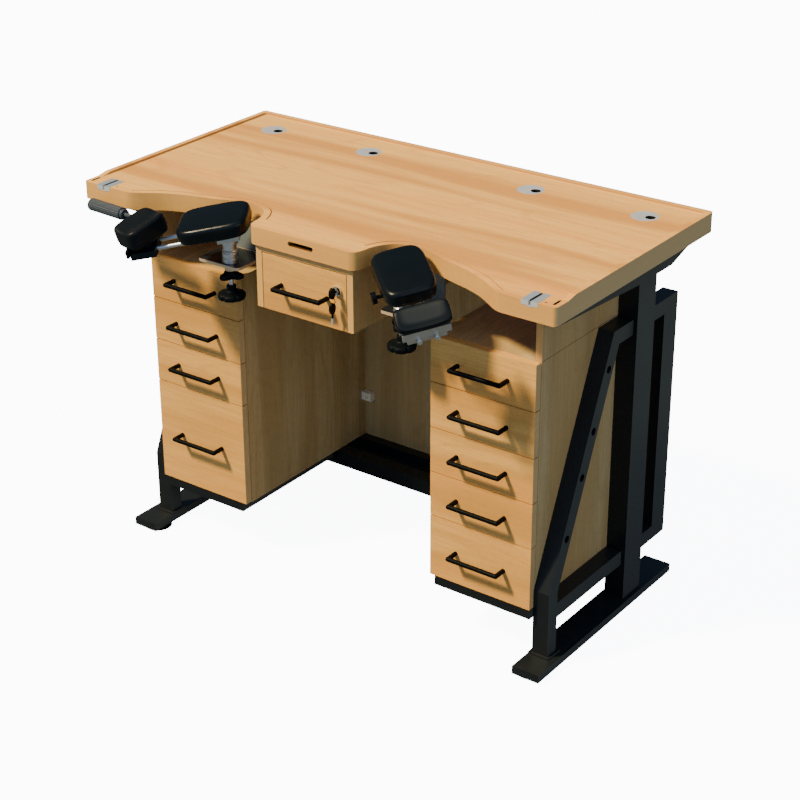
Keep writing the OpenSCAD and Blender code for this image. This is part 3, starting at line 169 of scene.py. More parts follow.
# the worktop's ends, which take the greyer beech as painted shade
BOARD_ENDS = ((0.645, -0.4, 0.8), (0.7, 0.5, 1.0))
RISER_JOINTS = ((0.545, -0.3, 0.7432), (0.7, 0.42, 0.7448))
# case faces that look forward, which take the warmer lit beech
CASE_FRONTS = ((0.0, -0.4, 0.0), (0.8, 0.1, 1.0))
KEY_BLADES = ((0.0, -0.29, 0.70), (0.2, -0.2, 0.776))
# corner plates, whose top faces take a darker, bluer tone as painted shade
PLATES = ((0.5, -0.3, 0.8), (0.65, -0.15, 1.0))
# the corner plates' slots and a strip along their edges, painted with shade
PLATE_SLOTS = ((0.5836, -0.253, 0.80), (0.5904, -0.206, 0.9360))
# the inserts' bores and the plates' channels, painted with shade
BORES_AND_CHANNELS = ((0.0, -0.240, 0.80), (0.7, 0.4, 0.9340))
# the brackets, whose flat faces are painted with shade
BRACKETS = ((0.10, -0.30, 0.70), (0.40, 0.0, 0.96))
# the brackets' upper parts, painted a darker, cooler zinc as shade that also offsets the warm reflection of the wood
BRACKET_PLATES = ((0.10, -0.30, 0.815), (0.40, 0.0, 0.96))

# linear red, green and blue
DUST = (0.12, 0.125, 0.13)
PAD_DUST = (0.05, 0.055, 0.06)
KEY_BLACK = (0.0016, 0.0024, 0.0032)
KEY_STEEL = (0.55, 0.54, 0.50)
BOLT_BLACK = (0.012, 0.013, 0.014)
BLOCK_CREAM = (0.95, 0.88, 0.66)
BLOCK_DUST = (0.6, 0.5, 0.36)
KNURL = (0.046, 0.060, 0.078)
CHROME = (0.8, 0.81, 0.82)
# painted shade on the corner plates' top faces, darker and bluer than their edges
PLATE_TOP_SHADE = (0.56, 0.65, 0.72)
# painted shade in the corner plates' slots
SLOT_SHADE_GREY = (0.09, 0.10, 0.11)
# painted shade in the bores and channels
BORE_SHADE_GREY = (0.03, 0.032, 0.036)

# density of the lines on zinc, along X, Y and Z
ZINC_LINES = (300.0, 300.0, 500.0)


# ---- shader trees


def add(tree, kind, sockets=(), **settings):
    """Adds one shader node; each socket takes a plain value or a link from another socket."""
    made = tree.nodes.new(kind)
    for name, value in settings.items():
        setattr(made, name, value)
    for key, value in dict(sockets).items():
        if isinstance(value, bpy.types.NodeSocket):
            tree.links.new(value, made.inputs[key])
        else:
            made.inputs[key].default_value = value
    return made


def new_group(name, inputs, outputs):
    """Makes a shader node group from (name, socket kind, default) rows and gives its tree and two end nodes."""
    tree = bpy.data.node_groups.new(name, "ShaderNodeTree")
    for label, kind, default in inputs:
        socket = tree.interface.new_socket(label, in_out="INPUT", socket_type=kind)
        if default is not None:
            socket.default_value = default
    for label, kind in outputs:
        tree.interface.new_socket(label, in_out="OUTPUT", socket_type=kind)
    return tree, tree.nodes.new("NodeGroupInput").outputs, tree.nodes.new("NodeGroupOutput").inputs


def stretched_noise(tree, vector, scales, detail=2.0, rough=0.5):
    """Noise whose spots are drawn out: its place is multiplied by one scale for each direction."""
    place = add(tree, "ShaderNodeMapping", {"Vector": vector, "Scale": scales})
    return add(tree, "ShaderNodeTexNoise", {
        "Vector": place.outputs[0], "Scale": 1.0, "Detail": detail, "Roughness": rough,
    }).outputs["Fac"]


def ranged(tree, value, low, high, to_low=0.0, to_high=1.0):
    """A value moved from one range to another and kept inside it, with soft ends."""
    return add(tree, "ShaderNodeMapRange", {
        "Value": value, "From Min": low, "From Max": high, "To Min": to_low, "To Max": to_high,
    }, interpolation_type="SMOOTHSTEP").outputs["Result"]


def math_of(tree, kind, first, second=0.0):
    """One sum, product or other Math operation on one or two values."""
    return add(tree, "ShaderNodeMath", {0: first, 1: second}, operation=kind).outputs[0]


def mixed(tree, factor, first, second, kind="MIX"):
    """Two colours mixed by a factor."""
    node = tree.nodes.new("ShaderNodeMix")
    node.data_type = "RGBA"
    node.blend_type = kind
    for index, value in ((0, factor), (6, first), (7, second)):
        if isinstance(value, bpy.types.NodeSocket):
            tree.links.new(value, node.inputs[index])
        else:
            node.inputs[index].default_value = value
    return node.outputs[2]


def beech_group():
    """Beech grain along the vector's first axis: broad bands, warm patches, fine streaks and short rays."""
    tree, given, out = new_group("beech_grain", [
        ("Vector", "NodeSocketVector", None), ("Light", "NodeSocketColor", (0.8, 0.5, 0.3, 1)),
        ("Dark", "NodeSocketColor", (0.6, 0.4, 0.2, 1)), ("Warm", "NodeSocketColor", (0.8, 0.45, 0.2, 1)),
        ("Fleck", "NodeSocketFloat", 0.3), ("Gloss", "NodeSocketFloat", 0.4),
    ], [("Color", "NodeSocketColor"), ("Roughness", "NodeSocketFloat"), ("Height", "NodeSocketFloat")])
    vector = given["Vector"]
    wave = stretched_noise(tree, vector, (1.7, 5.0, 5.0), 1.0)
    bent = add(tree, "ShaderNodeVectorMath", {0: vector, 1: add(tree, "ShaderNodeCombineXYZ", {
        "Y": math_of(tree, "MULTIPLY", wave, 0.05), "Z": math_of(tree, "MULTIPLY", wave, 0.03)}).outputs[0]},
        operation="ADD").outputs[0]
    bands = ranged(tree, stretched_noise(tree, bent, (0.55, 11.0, 11.0), 2.0, 0.45), 0.40, 0.62)
    warm = ranged(tree, stretched_noise(tree, bent, (0.8, 8.0, 8.0), 2.0), 0.47, 0.68)
    arcs = stretched_noise(tree, bent, (0.9, 6.5, 6.5), 1.0)
    rings = math_of(tree, "PINGPONG", math_of(tree, "MULTIPLY", arcs, 22.0), 1.0)
    streaks = stretched_noise(tree, bent, (5.0, 190.0, 190.0), 3.0, 0.6)
    rays = ranged(tree, stretched_noise(tree, vector, (130.0, 1100.0, 1100.0), 0.0), 0.66, 0.74)
    tone = mixed(tree, math_of(tree, "MULTIPLY", bands, 0.8), given["Light"], given["Dark"])
    tone = mixed(tree, math_of(tree, "MULTIPLY", warm, 0.75), tone, given["Warm"])
    tone = mixed(tree, ranged(tree, rings, 0.72, 1.0, 0.0, 0.26), tone, given["Dark"])
    tone = mixed(tree, ranged(tree, streaks, 0.35, 0.7, 0.0, 0.42), tone, given["Dark"])
    tone = mixed(tree, math_of(tree, "MULTIPLY", rays, given["Fleck"]), tone,
                 mixed(tree, 1.0, given["Dark"], (0.5, 0.42, 0.36, 1), "MULTIPLY"))
    tree.links.new(tone, out["Color"])
    tree.links.new(math_of(tree, "ADD", given["Gloss"], ranged(tree, streaks, 0.3, 0.75, -0.05, 0.08)),
                   out["Roughness"])
    tree.links.new(math_of(tree, "ADD", streaks, math_of(tree, "MULTIPLY", rays, -0.7)), out["Height"])
    return tree


def coat_group():
    """A sprayed or moulded skin: fine bumps, slow changes of gloss and a little dust in broad patches."""
    tree, given, out = new_group("coated_skin", [
        ("Color", "NodeSocketColor", (0.02, 0.02, 0.02, 1)), ("Dust", "NodeSocketColor", (0.1, 0.1, 0.1, 1)),
        ("Amount", "NodeSocketFloat", 0.1), ("Grain", "NodeSocketFloat", 900.0), ("Gloss", "NodeSocketFloat", 0.4),
    ], [("Color", "NodeSocketColor"), ("Roughness", "NodeSocketFloat"), ("Height", "NodeSocketFloat")])
    place = add(tree, "ShaderNodeTexCoord").outputs["Object"]
    fine = add(tree, "ShaderNodeTexNoise", {"Vector": place, "Scale": given["Grain"], "Detail": 2.0}).outputs["Fac"]
    slow = add(tree, "ShaderNodeTexNoise", {
        "Vector": place, "Scale": 7.0, "Detail": 4.0, "Roughness": 0.6}).outputs["Fac"]
    patch = ranged(tree, slow, 0.45, 0.75)
    tree.links.new(mixed(tree, math_of(tree, "MULTIPLY", patch, given["Amount"]), given["Color"], given["Dust"]),
                   out["Color"])
    tree.links.new(math_of(tree, "ADD", given["Gloss"], ranged(tree, slow, 0.3, 0.7, -0.05, 0.07)), out["Roughness"])
    tree.links.new(fine, out["Height"])
    return tree


def brushed_group():
    """Bare metal: fine lines along one axis, which change its gloss, and a slow change of shade."""
    tree, given, out = new_group("brushed_metal", [
        ("Color", "NodeSocketColor", (0.6, 0.6, 0.6, 1)), ("Lines", "NodeSocketVector", (40.0, 900.0, 900.0)),
        ("Gloss", "NodeSocketFloat", 0.3),
    ], [("Color", "NodeSocketColor"), ("Roughness", "NodeSocketFloat"), ("Height", "NodeSocketFloat")])
    place = add(tree, "ShaderNodeTexCoord").outputs["Object"]
    drawn = add(tree, "ShaderNodeVectorMath", {0: place, 1: given["Lines"]}, operation="MULTIPLY").outputs[0]
    lines = add(tree, "ShaderNodeTexNoise", {"Vector": drawn, "Scale": 1.0, "Detail": 3.0}).outputs["Fac"]
    slow = add(tree, "ShaderNodeTexNoise", {"Vector": place, "Scale": 25.0, "Detail": 3.0}).outputs["Fac"]
    tree.links.new(mixed(tree, ranged(tree, slow, 0.35, 0.7, 0.0, 0.3), given["Color"],
                         mixed(tree, 1.0, given["Color"], (0.7, 0.71, 0.72, 1), "MULTIPLY")), out["Color"])
    tree.links.new(math_of(tree, "ADD", given["Gloss"], ranged(tree, lines, 0.3, 0.7, -0.07, 0.1)), out["Roughness"])
    tree.links.new(lines, out["Height"])
    return tree


def box_group():
    """One inside a box and nothing outside it, the same on both sides of the bench's middle plane."""
    tree, given, out = new_group(
        "inside_box", [(name, "NodeSocketVector", None) for name in ("Vector", "Centre", "Half")],
        [("Mask", "NodeSocketFloat")])
    parts = add(tree, "ShaderNodeSeparateXYZ", {0: given["Vector"]}).outputs
    folded = add(tree, "ShaderNodeCombineXYZ", {
        0: math_of(tree, "ABSOLUTE", parts["X"]), 1: parts["Y"], 2: parts["Z"]}).outputs[0]
    away = add(tree, "ShaderNodeVectorMath", {0: folded, 1: given["Centre"]}, operation="SUBTRACT").outputs[0]
    far = add(tree, "ShaderNodeVectorMath", {0: away}, operation="ABSOLUTE").outputs[0]
    ratio = add(tree, "ShaderNodeVectorMath", {0: far, 1: given["Half"]}, operation="DIVIDE").outputs[0]
    sides = add(tree, "ShaderNodeSeparateXYZ", {0: ratio}).outputs
    most = math_of(tree, "MAXIMUM", math_of(tree, "MAXIMUM", sides["X"], sides["Y"]), sides["Z"])
    tree.links.new(math_of(tree, "LESS_THAN", most, 1.0), out["Mask"])
    return tree


BUILDERS = {"beech": beech_group, "coat": coat_group, "brushed": brushed_group, "box": box_group}
GROUPS = {}
SOCKETS = {"metallic": "Metallic", "specular": "Specular IOR Level"}


def shared(name):
    """One of the shared node groups, made at its first use."""
    if name not in GROUPS:
        GROUPS[name] = BUILDERS[name]()
    return GROUPS[name]


def finish_material(name, group, sockets, depth, **surface):
    """A material from one shared group: its colour, gloss and fine relief drive the shader, depth in metres."""
    made = bpy.data.materials.new(name)
    made.use_nodes = True
    tree = made.node_tree
    tree.nodes.clear()
    effect = add(tree, "ShaderNodeGroup", sockets, node_tree=shared(group))
    shader = add(tree, "ShaderNodeBsdfPrincipled", {
        "Base Color": effect.outputs["Color"], "Roughness": effect.outputs["Roughness"],
        "Normal": add(tree, "ShaderNodeBump", {
            "Height": effect.outputs["Height"], "Strength": 1.0, "Distance": depth}).outputs[0],
    })
    for key, value in surface.items():
        shader.inputs[SOCKETS[key]].default_value = value
    add(tree, "ShaderNodeOutputMaterial", {"Surface": shader.outputs[0]})
    return made


def opaque(values):
    """Red, green and blue with full cover."""
    return (*values, 1.0)


def coated(name, base, amount, grain, gloss, depth, dust=DUST, **surface):
    """A painted or moulded skin."""
    return finish_material(name, "coat", {
        "Color": opaque(base), "Dust": opaque(dust), "Amount": amount, "Grain": grain, "Gloss": gloss},
        depth, **surface)


def metal(name, base, lines, gloss, depth, metallic):
    """Bare metal with fine lines."""
    return finish_material(name, "brushed", {"Color": opaque(base), "Lines": lines, "Gloss": gloss},
                           depth, metallic=metallic)


def box_mask(made, corners):
    """A mask of what lies between two corners, given in metres with X counted outwards from the middle."""
    low, high = np.array(corners)
    tree = made.node_tree
    return add(tree, "ShaderNodeGroup", {
        "Vector": add(tree, "ShaderNodeTexCoord").outputs["Object"],
        "Centre": ((low + high) / 2).tolist(), "Half": ((high - low) / 2).tolist(),
    }, node_tree=shared("box")).outputs["Mask"]


def tinted(made, mask, tint, strength=1.0):
    """Lays a tint over a material's colour where the mask is set."""
    tree = made.node_tree
    goal = next(n for n in tree.nodes if n.type == "BSDF_PRINCIPLED").inputs["Base Color"]
    cover = math_of(tree, "MULTIPLY", mask, strength)
    tree.links.new(mixed(tree, cover, goal.links[0].from_socket, opaque(tint)), goal)
    return made


def looking(made, axis, least, way=0):
    """A mask of the faces that look along an axis: both ways, or only forwards or backwards where way is 1 or -1."""
    tree = made.node_tree
    part = add(tree, "ShaderNodeSeparateXYZ", {0: add(tree, "ShaderNodeNewGeometry").outputs["Normal"]}).outputs[axis]
    value = math_of(tree, "MULTIPLY", part, way) if way else math_of(tree, "ABSOLUTE", part)
    return math_of(tree, "GREATER_THAN", value, least)


def upright(made, most):
    """A mask of the faces whose normal's upward part, without its sign, is no more than a value."""
    return math_of(made.node_tree, "SUBTRACT", 1.0, looking(made, "Z", most))


def inside(made, corners, mask):
    """The part of a mask that lies in a box."""
    return math_of(made.node_tree, "MULTIPLY", mask, box_mask(made, corners))


def beech(name, along, wood, shift=(0.0, 0.0, 0.0), base=None):
    """Beech with its grain along one axis; faces that look along that axis show grain along their longer side.

    With a base colour, the growth bands and the warm patches are darker and redder shades of it."""
    light, dark, warm = wood.light, wood.dark, wood.warm
    if base:
        light = np.array(base)
        dark, warm = light * (0.68, 0.58, 0.44), light * (0.96, 0.80, 0.62)
    made = finish_material(name, "beech", {
        "Light": opaque(light), "Dark": opaque(dark), "Warm": opaque(warm),
        "Fleck": wood.fleck, "Gloss": wood.gloss}, 0.00006)
    tree = made.node_tree
    place = add(tree, "ShaderNodeMapping", {
        "Vector": add(tree, "ShaderNodeTexCoord").outputs["Object"], "Location": shift}).outputs[0]
    parts = add(tree, "ShaderNodeSeparateXYZ", {0: place}).outputs
    facing = add(tree, "ShaderNodeSeparateXYZ", {0: add(tree, "ShaderNodeNewGeometry").outputs["Normal"]}).outputs
    order = {"X": "XYZ", "Y": "YXZ", "Z": "ZXY"}
    main, end = order[along], order["Y"]
    sides = [add(tree, "ShaderNodeCombineXYZ", {0: parts[o[0]], 1: parts[o[1]], 2: parts[o[2]]}).outputs[0]
             for o in (main, end)]
    mask = math_of(tree, "GREATER_THAN", math_of(tree, "ABSOLUTE", facing[along]), 0.7)
    choice = add(tree, "ShaderNodeMix", data_type="VECTOR")
    tree.links.new(mask, choice.inputs[0])
    tree.links.new(sides[0], choice.inputs[4])
    tree.links.new(sides[1], choice.inputs[5])
    group = next(n for n in tree.nodes if n.type == "GROUP")
    tree.links.new(choice.outputs[1], group.inputs["Vector"])
    return made


def dress(names, material):
    """Gives every material slot of the named CAD nodes one material."""
    for name in names:
        slots = NODES[name].material_slots
        if not slots:
            NODES[name].data.materials.append(material)
        for slot in slots:
            slot.material = material


# ---- surfaces


def closed_rings(rings):
    """Points and faces of a closed skin over rings of equal count, its first and last ring shut by a centre point."""
    count_rows, count = rings.shape[:2]
    points = np.concatenate([rings.reshape(-1, 3), rings[:1].mean(axis=1), rings[-1:].mean(axis=1)])
    row, column = np.meshgrid(np.arange(count_rows - 1), np.arange(count), indexing="ij")
    here, right = row * count + column, row * count + (column + 1) % count
    walls = np.stack([here, right, right + count, here + count], axis=-1).reshape(-1, 4)
    turn = np.arange(count)
    low, high = count_rows * count, count_rows * count + 1
    last = (count_rows - 1) * count
    under = np.stack([(turn + 1) % count, turn, np.full(count, low)], axis=-1)
    over = np.stack([last + turn, last + (turn + 1) % count, np.full(count, high)], axis=-1)
    return points, walls.tolist() + under.tolist() + over.tolist()


def piece(name, points, faces, material, body, flip=False):
    """A new smooth object from arrays, riding on a body and with the record's material slot."""
    if flip:
        faces = [face[::-1] for face in faces]
    mesh = bpy.data.meshes.new(name)
    mesh.from_pydata(points.tolist(), [], faces)
    mesh.materials.append(material)
    mesh.polygons.foreach_set("use_smooth", np.full(len(mesh.polygons), True))
    mesh.update()
    made = bpy.data.objects.new(name, mesh)
    bpy.context.scene.collection.objects.link(made)
    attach(made, body)
    return made


def placed(points, matrix):
    """Points turned and moved by a 4 by 4 matrix."""
    return points @ np.array(matrix.to_3x3()).T + np.array(matrix.translation)


# each arm's turn in degrees, and in mm the hand pad's place along and across it and the elbow pad's beyond that
ARM = {
    "left": {"turn": 29, "hand": 23, "side": 10, "elbow": 175},
    "right": {"turn": 39, "hand": 35, "side": 0, "elbow": 144},
}
# the right arm's pivot in mm, and the fall of the arms along their rods and across them in degrees
PIVOT = (241, 42 - 258.5, 887)
ARM_FALL, ARM_TILT = 13, 11
# heights of the pads' undersides above the pivot, in mm
HAND_LIFT, ELBOW_LIFT = 14, 22
# heights of the undersides of the star knobs and the lifting knobs, in metres
STAR_HEIGHT, LIFT_HEIGHT = 0.7735, 0.7235

# radius and height of the lifting knob's skin and of the screw in it, from the knob's underside, in metres
LIFT_KNOB = np.array([
    (8, 0), (20, 0), (28, 0), (30.5, 0.8), (32, 2.5), (32.7, 5), (32.7, 9), (32, 11.5), (30, 13.5), (26, 15),
    (21, 16.5), (16, 18), (13, 19.5), (11.6, 21.5), (11.2, 25), (11.2, 31), (10.8, 33), (9.5, 34), (6, 34)]) * MM
LIFT_SCREW = np.array([(2, 20), (5.6, 20), (5.8, 21), (5.8, 48), (5.4, 49.2), (4, 49.4), (4, 109), (2, 109.5)]) * MM


def arm_matrix(side, place, own=0.0):
    """Place on an armrest: along its rods, across them and above them, turned about its own upright axis."""
    base = (Matrix.Translation(Vector(PIVOT) * MM) @ Matrix.Rotation(math.radians(-ARM[side]["turn"]), 4, "Z")
            @ Matrix.Rotation(math.radians(ARM_FALL), 4, "Y") @ Matrix.Rotation(math.radians(ARM_TILT), 4, "X"))
    local = Matrix.Translation(Vector(place) * MM) @ Matrix.Rotation(math.radians(own), 4, "Z")
    mirror = Matrix.Diagonal((-1 if side == "left" else 1, 1, 1, 1))
    return mirror @ base @ local


def pad_profile(thickness, edge, seam):
    """Inset and height of each ring of a pad: flat underside, tucked lower edge, parting line and rounded upper edge.

    The lower edge is a quarter circle of 7 mm that ends 2 mm in from the widest outline, the upper one a quarter
    circle of the edge radius that starts 0.6 mm in from it, and the side between them bows out. The parting line
    is a narrow notch at 0.36 of the height."""
    quarter = np.linspace(0, math.pi / 2, 9)
    foot = 0.007
    low = np.stack([foot + 0.002 - foot * np.sin(quarter), foot - foot * np.cos(quarter)], axis=1)
    side_height = np.linspace(foot, thickness - edge, 14)[1:-1]
    middle = (side_height - foot) / (thickness - edge - foot)
    side = np.stack([0.002 * (1 - middle) ** 2 + 0.0006 * middle ** 2, side_height], axis=1)
    notch = thickness * 0.36
    line = np.array([[0.0004, notch - 0.0016], [0.0004 + seam, notch - 0.0005],
                     [0.0004 + seam, notch + 0.0005], [0.0004, notch + 0.0016]])
    side = side[np.abs(side[:, 1] - notch) > 0.0026]
    side = np.concatenate([side, line])
    side = side[np.argsort(side[:, 1])]
    high = np.stack([0.0006 + edge - edge * np.cos(quarter), thickness - edge + edge * np.sin(quarter)], axis=1)
    return np.concatenate([low, side, high])


TOP_RINGS = 12


def pad_skin(long, wide, thickness, rise, edge, seam, count=192):
    """A pad as rings: each a superellipse of power 4.4, drawn in by the profile and lifted by the rise of the top.

    Heights are stretched by (thickness + rise) / thickness, so crown or hollow fades out towards the underside."""
    angle = np.linspace(0, 2 * math.pi, count, endpoint=False)
    outline = np.stack([np.sign(np.cos(angle)) * np.abs(np.cos(angle)) ** 0.45,
                        np.sign(np.sin(angle)) * np.abs(np.sin(angle)) ** 0.45], axis=1)
    profile = pad_profile(thickness, edge, seam)
    inner = np.linspace(0.93, 0.05, TOP_RINGS)
    half = np.array([long, wide]) / 2
    rows = [outline * (half - inset) for inset in profile[:, 0]]
    rows += [outline * (half - profile[-1, 0]) * s for s in inner]
    heights = np.concatenate([profile[:, 1], np.full(len(inner), thickness)])
    under = [outline * (half - profile[0, 0]) * s for s in (0.1, 0.5, 0.9)]
    rows = np.array(under + rows)
    heights = np.concatenate([np.zeros(3), heights])
    shares = rows / half
    height = heights[:, None] * (1 + rise(shares) / thickness)
    return np.concatenate([rows, height[..., None]], axis=2)


# length, width and thickness of the hand pads' skin and the height of its crown, in metres
HAND_SIZE, HAND_CROWN = (0.167, 0.118, 0.037), 0.003
# length, width and turn in degrees of each elbow pad's skin, then its hollows, its lower top and its outer fall
ELBOW = {
    "left": (0.083, 0.110, 42, (0.002, 0.010, -0.004, 0.0)),
    "right": (0.056, 0.118, 0, (0.004, 0.0, 0.012, 0.021)),
}
ELBOW_THICKNESS = 0.050
# length of the CAD's elbow pads in mm; the skins keep their outer ends
ELBOW_SOLID = 78


def hand_rise(crown):
    """A crown that falls off as one minus the square of the place, both along and across the pad."""
    return lambda place: crown * (1 - np.clip(place[..., 0] ** 2, 0, 1)) * (1 - np.clip(place[..., 1] ** 2, 0, 1))


def elbow_rise(across, along, sink, slope):
    """A saddle: hollows across and along the pad that are deepest in its middle, and an outer end that falls away.

    The top sinks by across * (1 - y ** 2) + along * (1 - x ** 2) + sink + slope * t, with t from 0 to 1 over the
    outer part and a little rounded at both ends."""
    def rise(place):
        fall = np.clip((place[..., 0] + 0.3) / 1.15, 0, 1)
        fall = fall + 0.25 * (fall * fall * (3 - 2 * fall) - fall)
        bowl = across * (1 - np.clip(place[..., 1] ** 2, 0, 1)) + along * (1 - np.clip(place[..., 0] ** 2, 0, 1))
        return -(bowl + sink + slope * fall)
    return rise


class BENCH_OT_boards(Operator):
    """Beech for the worktop, the cases, the drawers and the back panel"""

    bl_idname = "bench.boards"
    bl_label = "Boards"

    def execute(self, context):
        wood = context.scene.bench_wood
        board = beech("beech_worktop", "X", wood)
        # painted shade in the nose slot and the seats of the corner plates
        for corners in RECESS_SHADE_BOXES:
            tinted(board, box_mask(board, corners), wood.gap)
        # painted shade on the groove floors and the rim walls
        tinted(board, inside(board, GROOVES, looking(board, "Z", 0.5)), wood.gap, 0.7)
        tinted(board, inside(board, RIM_WALLS, upright(board, 0.6)), wood.gap, 0.8)
        # painted shade on the worktop's upright faces
        tinted(board, upright(board, 0.4), wood.upright_shade, 0.7)
        # painted shade: the worktop's ends take the greyer beech
        tinted(board, inside(board, BOARD_ENDS, looking(board, "X", 0.7)), wood.side, 0.7)
        # painted shade in the narrow holes and slots
        for corners in HOLE_SHADE_BOXES:
            tinted(board, box_mask(board, corners), wood.deep)
        dress(["worktop"], board)
        fronts = beech("beech_fronts", "X", wood, (0.4, 0.0, 0.25), wood.front)
        # painted shade: the drawer fronts' ends take the greyer beech
        tinted(fronts, looking(fronts, "X", 0.7), wood.side, 0.7)
        dress(FRONTS, fronts)
        # the cases and the back panel take the greyer beech as painted shade
        sides = beech("beech_sides", "Z", wood, (0.0, 0.3, 0.1), wood.side)
        tinted(sides, inside(sides, RISER_JOINTS, upright(sides, 0.5)), wood.gap, 0.8)
        # the case faces that look forward take the warmer lit beech instead of the shaded one
        tinted(sides, inside(sides, CASE_FRONTS, looking(sides, "Y", 0.7, -1)), wood.edge, 0.8)
        dress(CASES, sides)
        dress(["runners"], beech("beech_strips", "Y", wood, (0.2, 0.1, 0.0)))
        return {"FINISHED"}


class BENCH_OT_steelwork(Operator):
    """Powder coat on the frame and handles, bare metal on bolts and fittings"""

    bl_idname = "bench.steelwork"
    bl_label = "Steelwork and fittings"

    def execute(self, context):
        steel = context.scene.bench_steel
        coat = coated("frame_powder_coat", steel.paint, 0.02, 700.0, 0.40, 0.00012, specular=0.3)
        # painted light on the faces that look to the right and, faintly, on the top faces
        tinted(coat, looking(coat, "X", 0.7, 1), steel.painted_sheen)
        tinted(coat, looking(coat, "Z", 0.7, 1), steel.painted_sheen, 0.08)
        dress(["frame_left", "frame_right", "crossbars"], coat)
        dress(HANDLES, coated("handle_paint", steel.handle, 0.01, 1200.0, 0.46, 0.00004, specular=0.05))
        dress(["glides", "clamp_knob"], plastic_material(steel))
        keys = coated("key_plastic", KEY_BLACK, 0.01, 1500.0, 0.38, 0.00003, specular=0.06)
        dress(["key", "spare_key"], tinted(keys, box_mask(keys, KEY_BLADES), KEY_STEEL))
        dress(["corner_blocks"], coated("block_plastic", BLOCK_CREAM, 0.15, 600.0, 0.5, 0.00004, BLOCK_DUST))
        dress(["frame_bolts"], coated("bolt_black", BOLT_BLACK, 0.1, 900.0, 0.32, 0.00004))
        bright = metal("brushed_aluminium", steel.aluminium, (60.0, 1400.0, 1400.0), 0.34, 0.00002, 0.6)
        # painted shade in the inserts' bores and the plates' channels
        tinted(bright, box_mask(bright, BORES_AND_CHANNELS), BORE_SHADE_GREY)
        # painted shade on the corner plates' top faces
        tinted(bright, inside(bright, PLATES, looking(bright, "Z", 0.7, 1)), PLATE_TOP_SHADE)
        # painted shade in the corner plates' slots and along their edges
        tinted(bright, box_mask(bright, PLATE_SLOTS), SLOT_SHADE_GREY)
        dress(["inserts", "corner_plates"], bright)
        bracket = metal("bracket_zinc", steel.zinc, ZINC_LINES, 0.34, 0.00003, 0.45)
        # painted shade on the brackets' flat faces
        tinted(bracket, inside(bracket, BRACKETS, looking(bracket, "Z", 0.7)), steel.shade)
        # painted shade and an offset for the wood's warm reflection: a darker, cooler zinc over the brackets' upper
        # parts
        tinted(bracket, box_mask(bracket, BRACKET_PLATES), steel.plate)
        dress(["bracket_left", "bracket_right"], bracket)
        dress(["post_left", "post_right", "arm_left", "arm_right", "screws", "lock_plug"], zinc_material(steel))
        # the right carriage takes its dull zinc, the left one the painted shade
        for side, shade in (("right", steel.dull), ("left", steel.shade)):
            dress([f"elbow_carriage_{side}"],
                  metal(f"carriage_zinc_{side}", shade, ZINC_LINES, 0.42, 0.00003, 0.85))
        dress(["grip"], metal("knurled_steel", KNURL, (420.0, 420.0, 420.0), 0.5, 0.0007, 0.3))
        dress(["lock"], metal("chrome_collar", CHROME, (200.0, 200.0, 200.0), 0.14, 0.00001, 1.0))
        return {"FINISHED"}


def plastic_material(steel):
    """The knobs' black plastic, made once."""
    return bpy.data.materials.get("knob_plastic") or coated(
        "knob_plastic", steel.plastic, 0.02, 900.0, 0.46, 0.00005, specular=0.07)


def zinc_material(steel):
    """The armrests' zinc-plated steel, made once."""
    return bpy.data.materials.get("zinc_steel") or metal(
        "zinc_steel", steel.zinc, ZINC_LINES, 0.38, 0.00003, 0.85)


def pad_material(pads, name, gloss):
    """The pads' moulded skin; a point attribute sets where a painted highlight makes it lighter."""
    made = coated(name, pads.cover, 0.01, 650.0, gloss, 0.00003, PAD_DUST, specular=0.17)
    painted_highlight = add(made.node_tree, "ShaderNodeAttribute", attribute_name="highlight_share").outputs["Fac"]
    return tinted(made, painted_highlight, pads.painted_highlight)


def turned(profile, count, notches=0, depth=0.0, inner=0.0, outer=1.0):
    """Rings of a turned piece from (radius, height) rows, with finger notches cut into its rim.

    Each radius is multiplied by 1 - depth * share * max(0, cos(notches * angle)) ** 4, where the share of the cut
    grows from nothing at the inner radius to all of it at the outer one."""
    angle = np.linspace(0, 2 * math.pi, count, endpoint=False) + math.pi / 2
    cut = np.maximum(0, np.cos(notches * (angle - math.pi / 2))) ** 4 if notches else np.zeros(count)
    radius, height = np.array(profile).T
    grow = np.clip((radius - inner) / (outer - inner), 0, 1)
    length_out = radius[:, None] * (1 - depth * grow[:, None] * cut[None, :])
    return np.stack([length_out * np.cos(angle), length_out * np.sin(angle),
                     np.repeat(height[:, None], count, axis=1)], axis=2)


def winged(wings, turn, hub, reach, thick, hub_thick, count=144):
    """Rings of a knob with wings: its outline is hub + (reach - hub) * (0.5 + 0.5 cos(wings * angle)) ** 1.3.

    The top falls from the hub's thickness to the wings' within the space between hub and tips."""
    angle = np.linspace(0, 2 * math.pi, count, endpoint=False)
    outline = hub + (reach - hub) * (0.5 + 0.5 * np.cos(wings * (angle - turn))) ** 1.3
    rows = []
    for inset, level in ((0.7, 0.0), (0.35, 0.0), (0.12, 0.015), (0.04, 0.12), (0.0, 0.35), (0.0, 0.6), (0.02, 0.78),
                         (0.07, 0.92), (0.16, 1.0), (0.35, 1.0), (0.5, 1.0), (0.65, 1.0), (0.8, 1.0)):
        radius = outline * (1 - inset)
        high = np.clip((hub * 1.35 - radius) / (hub * 0.5), 0, 1)
        top = thick + (hub_thick - thick) * high * high * (3 - 2 * high)
        rows.append(np.stack([radius * np.cos(angle), radius * np.sin(angle), top * level], axis=1))
    return np.array(rows)


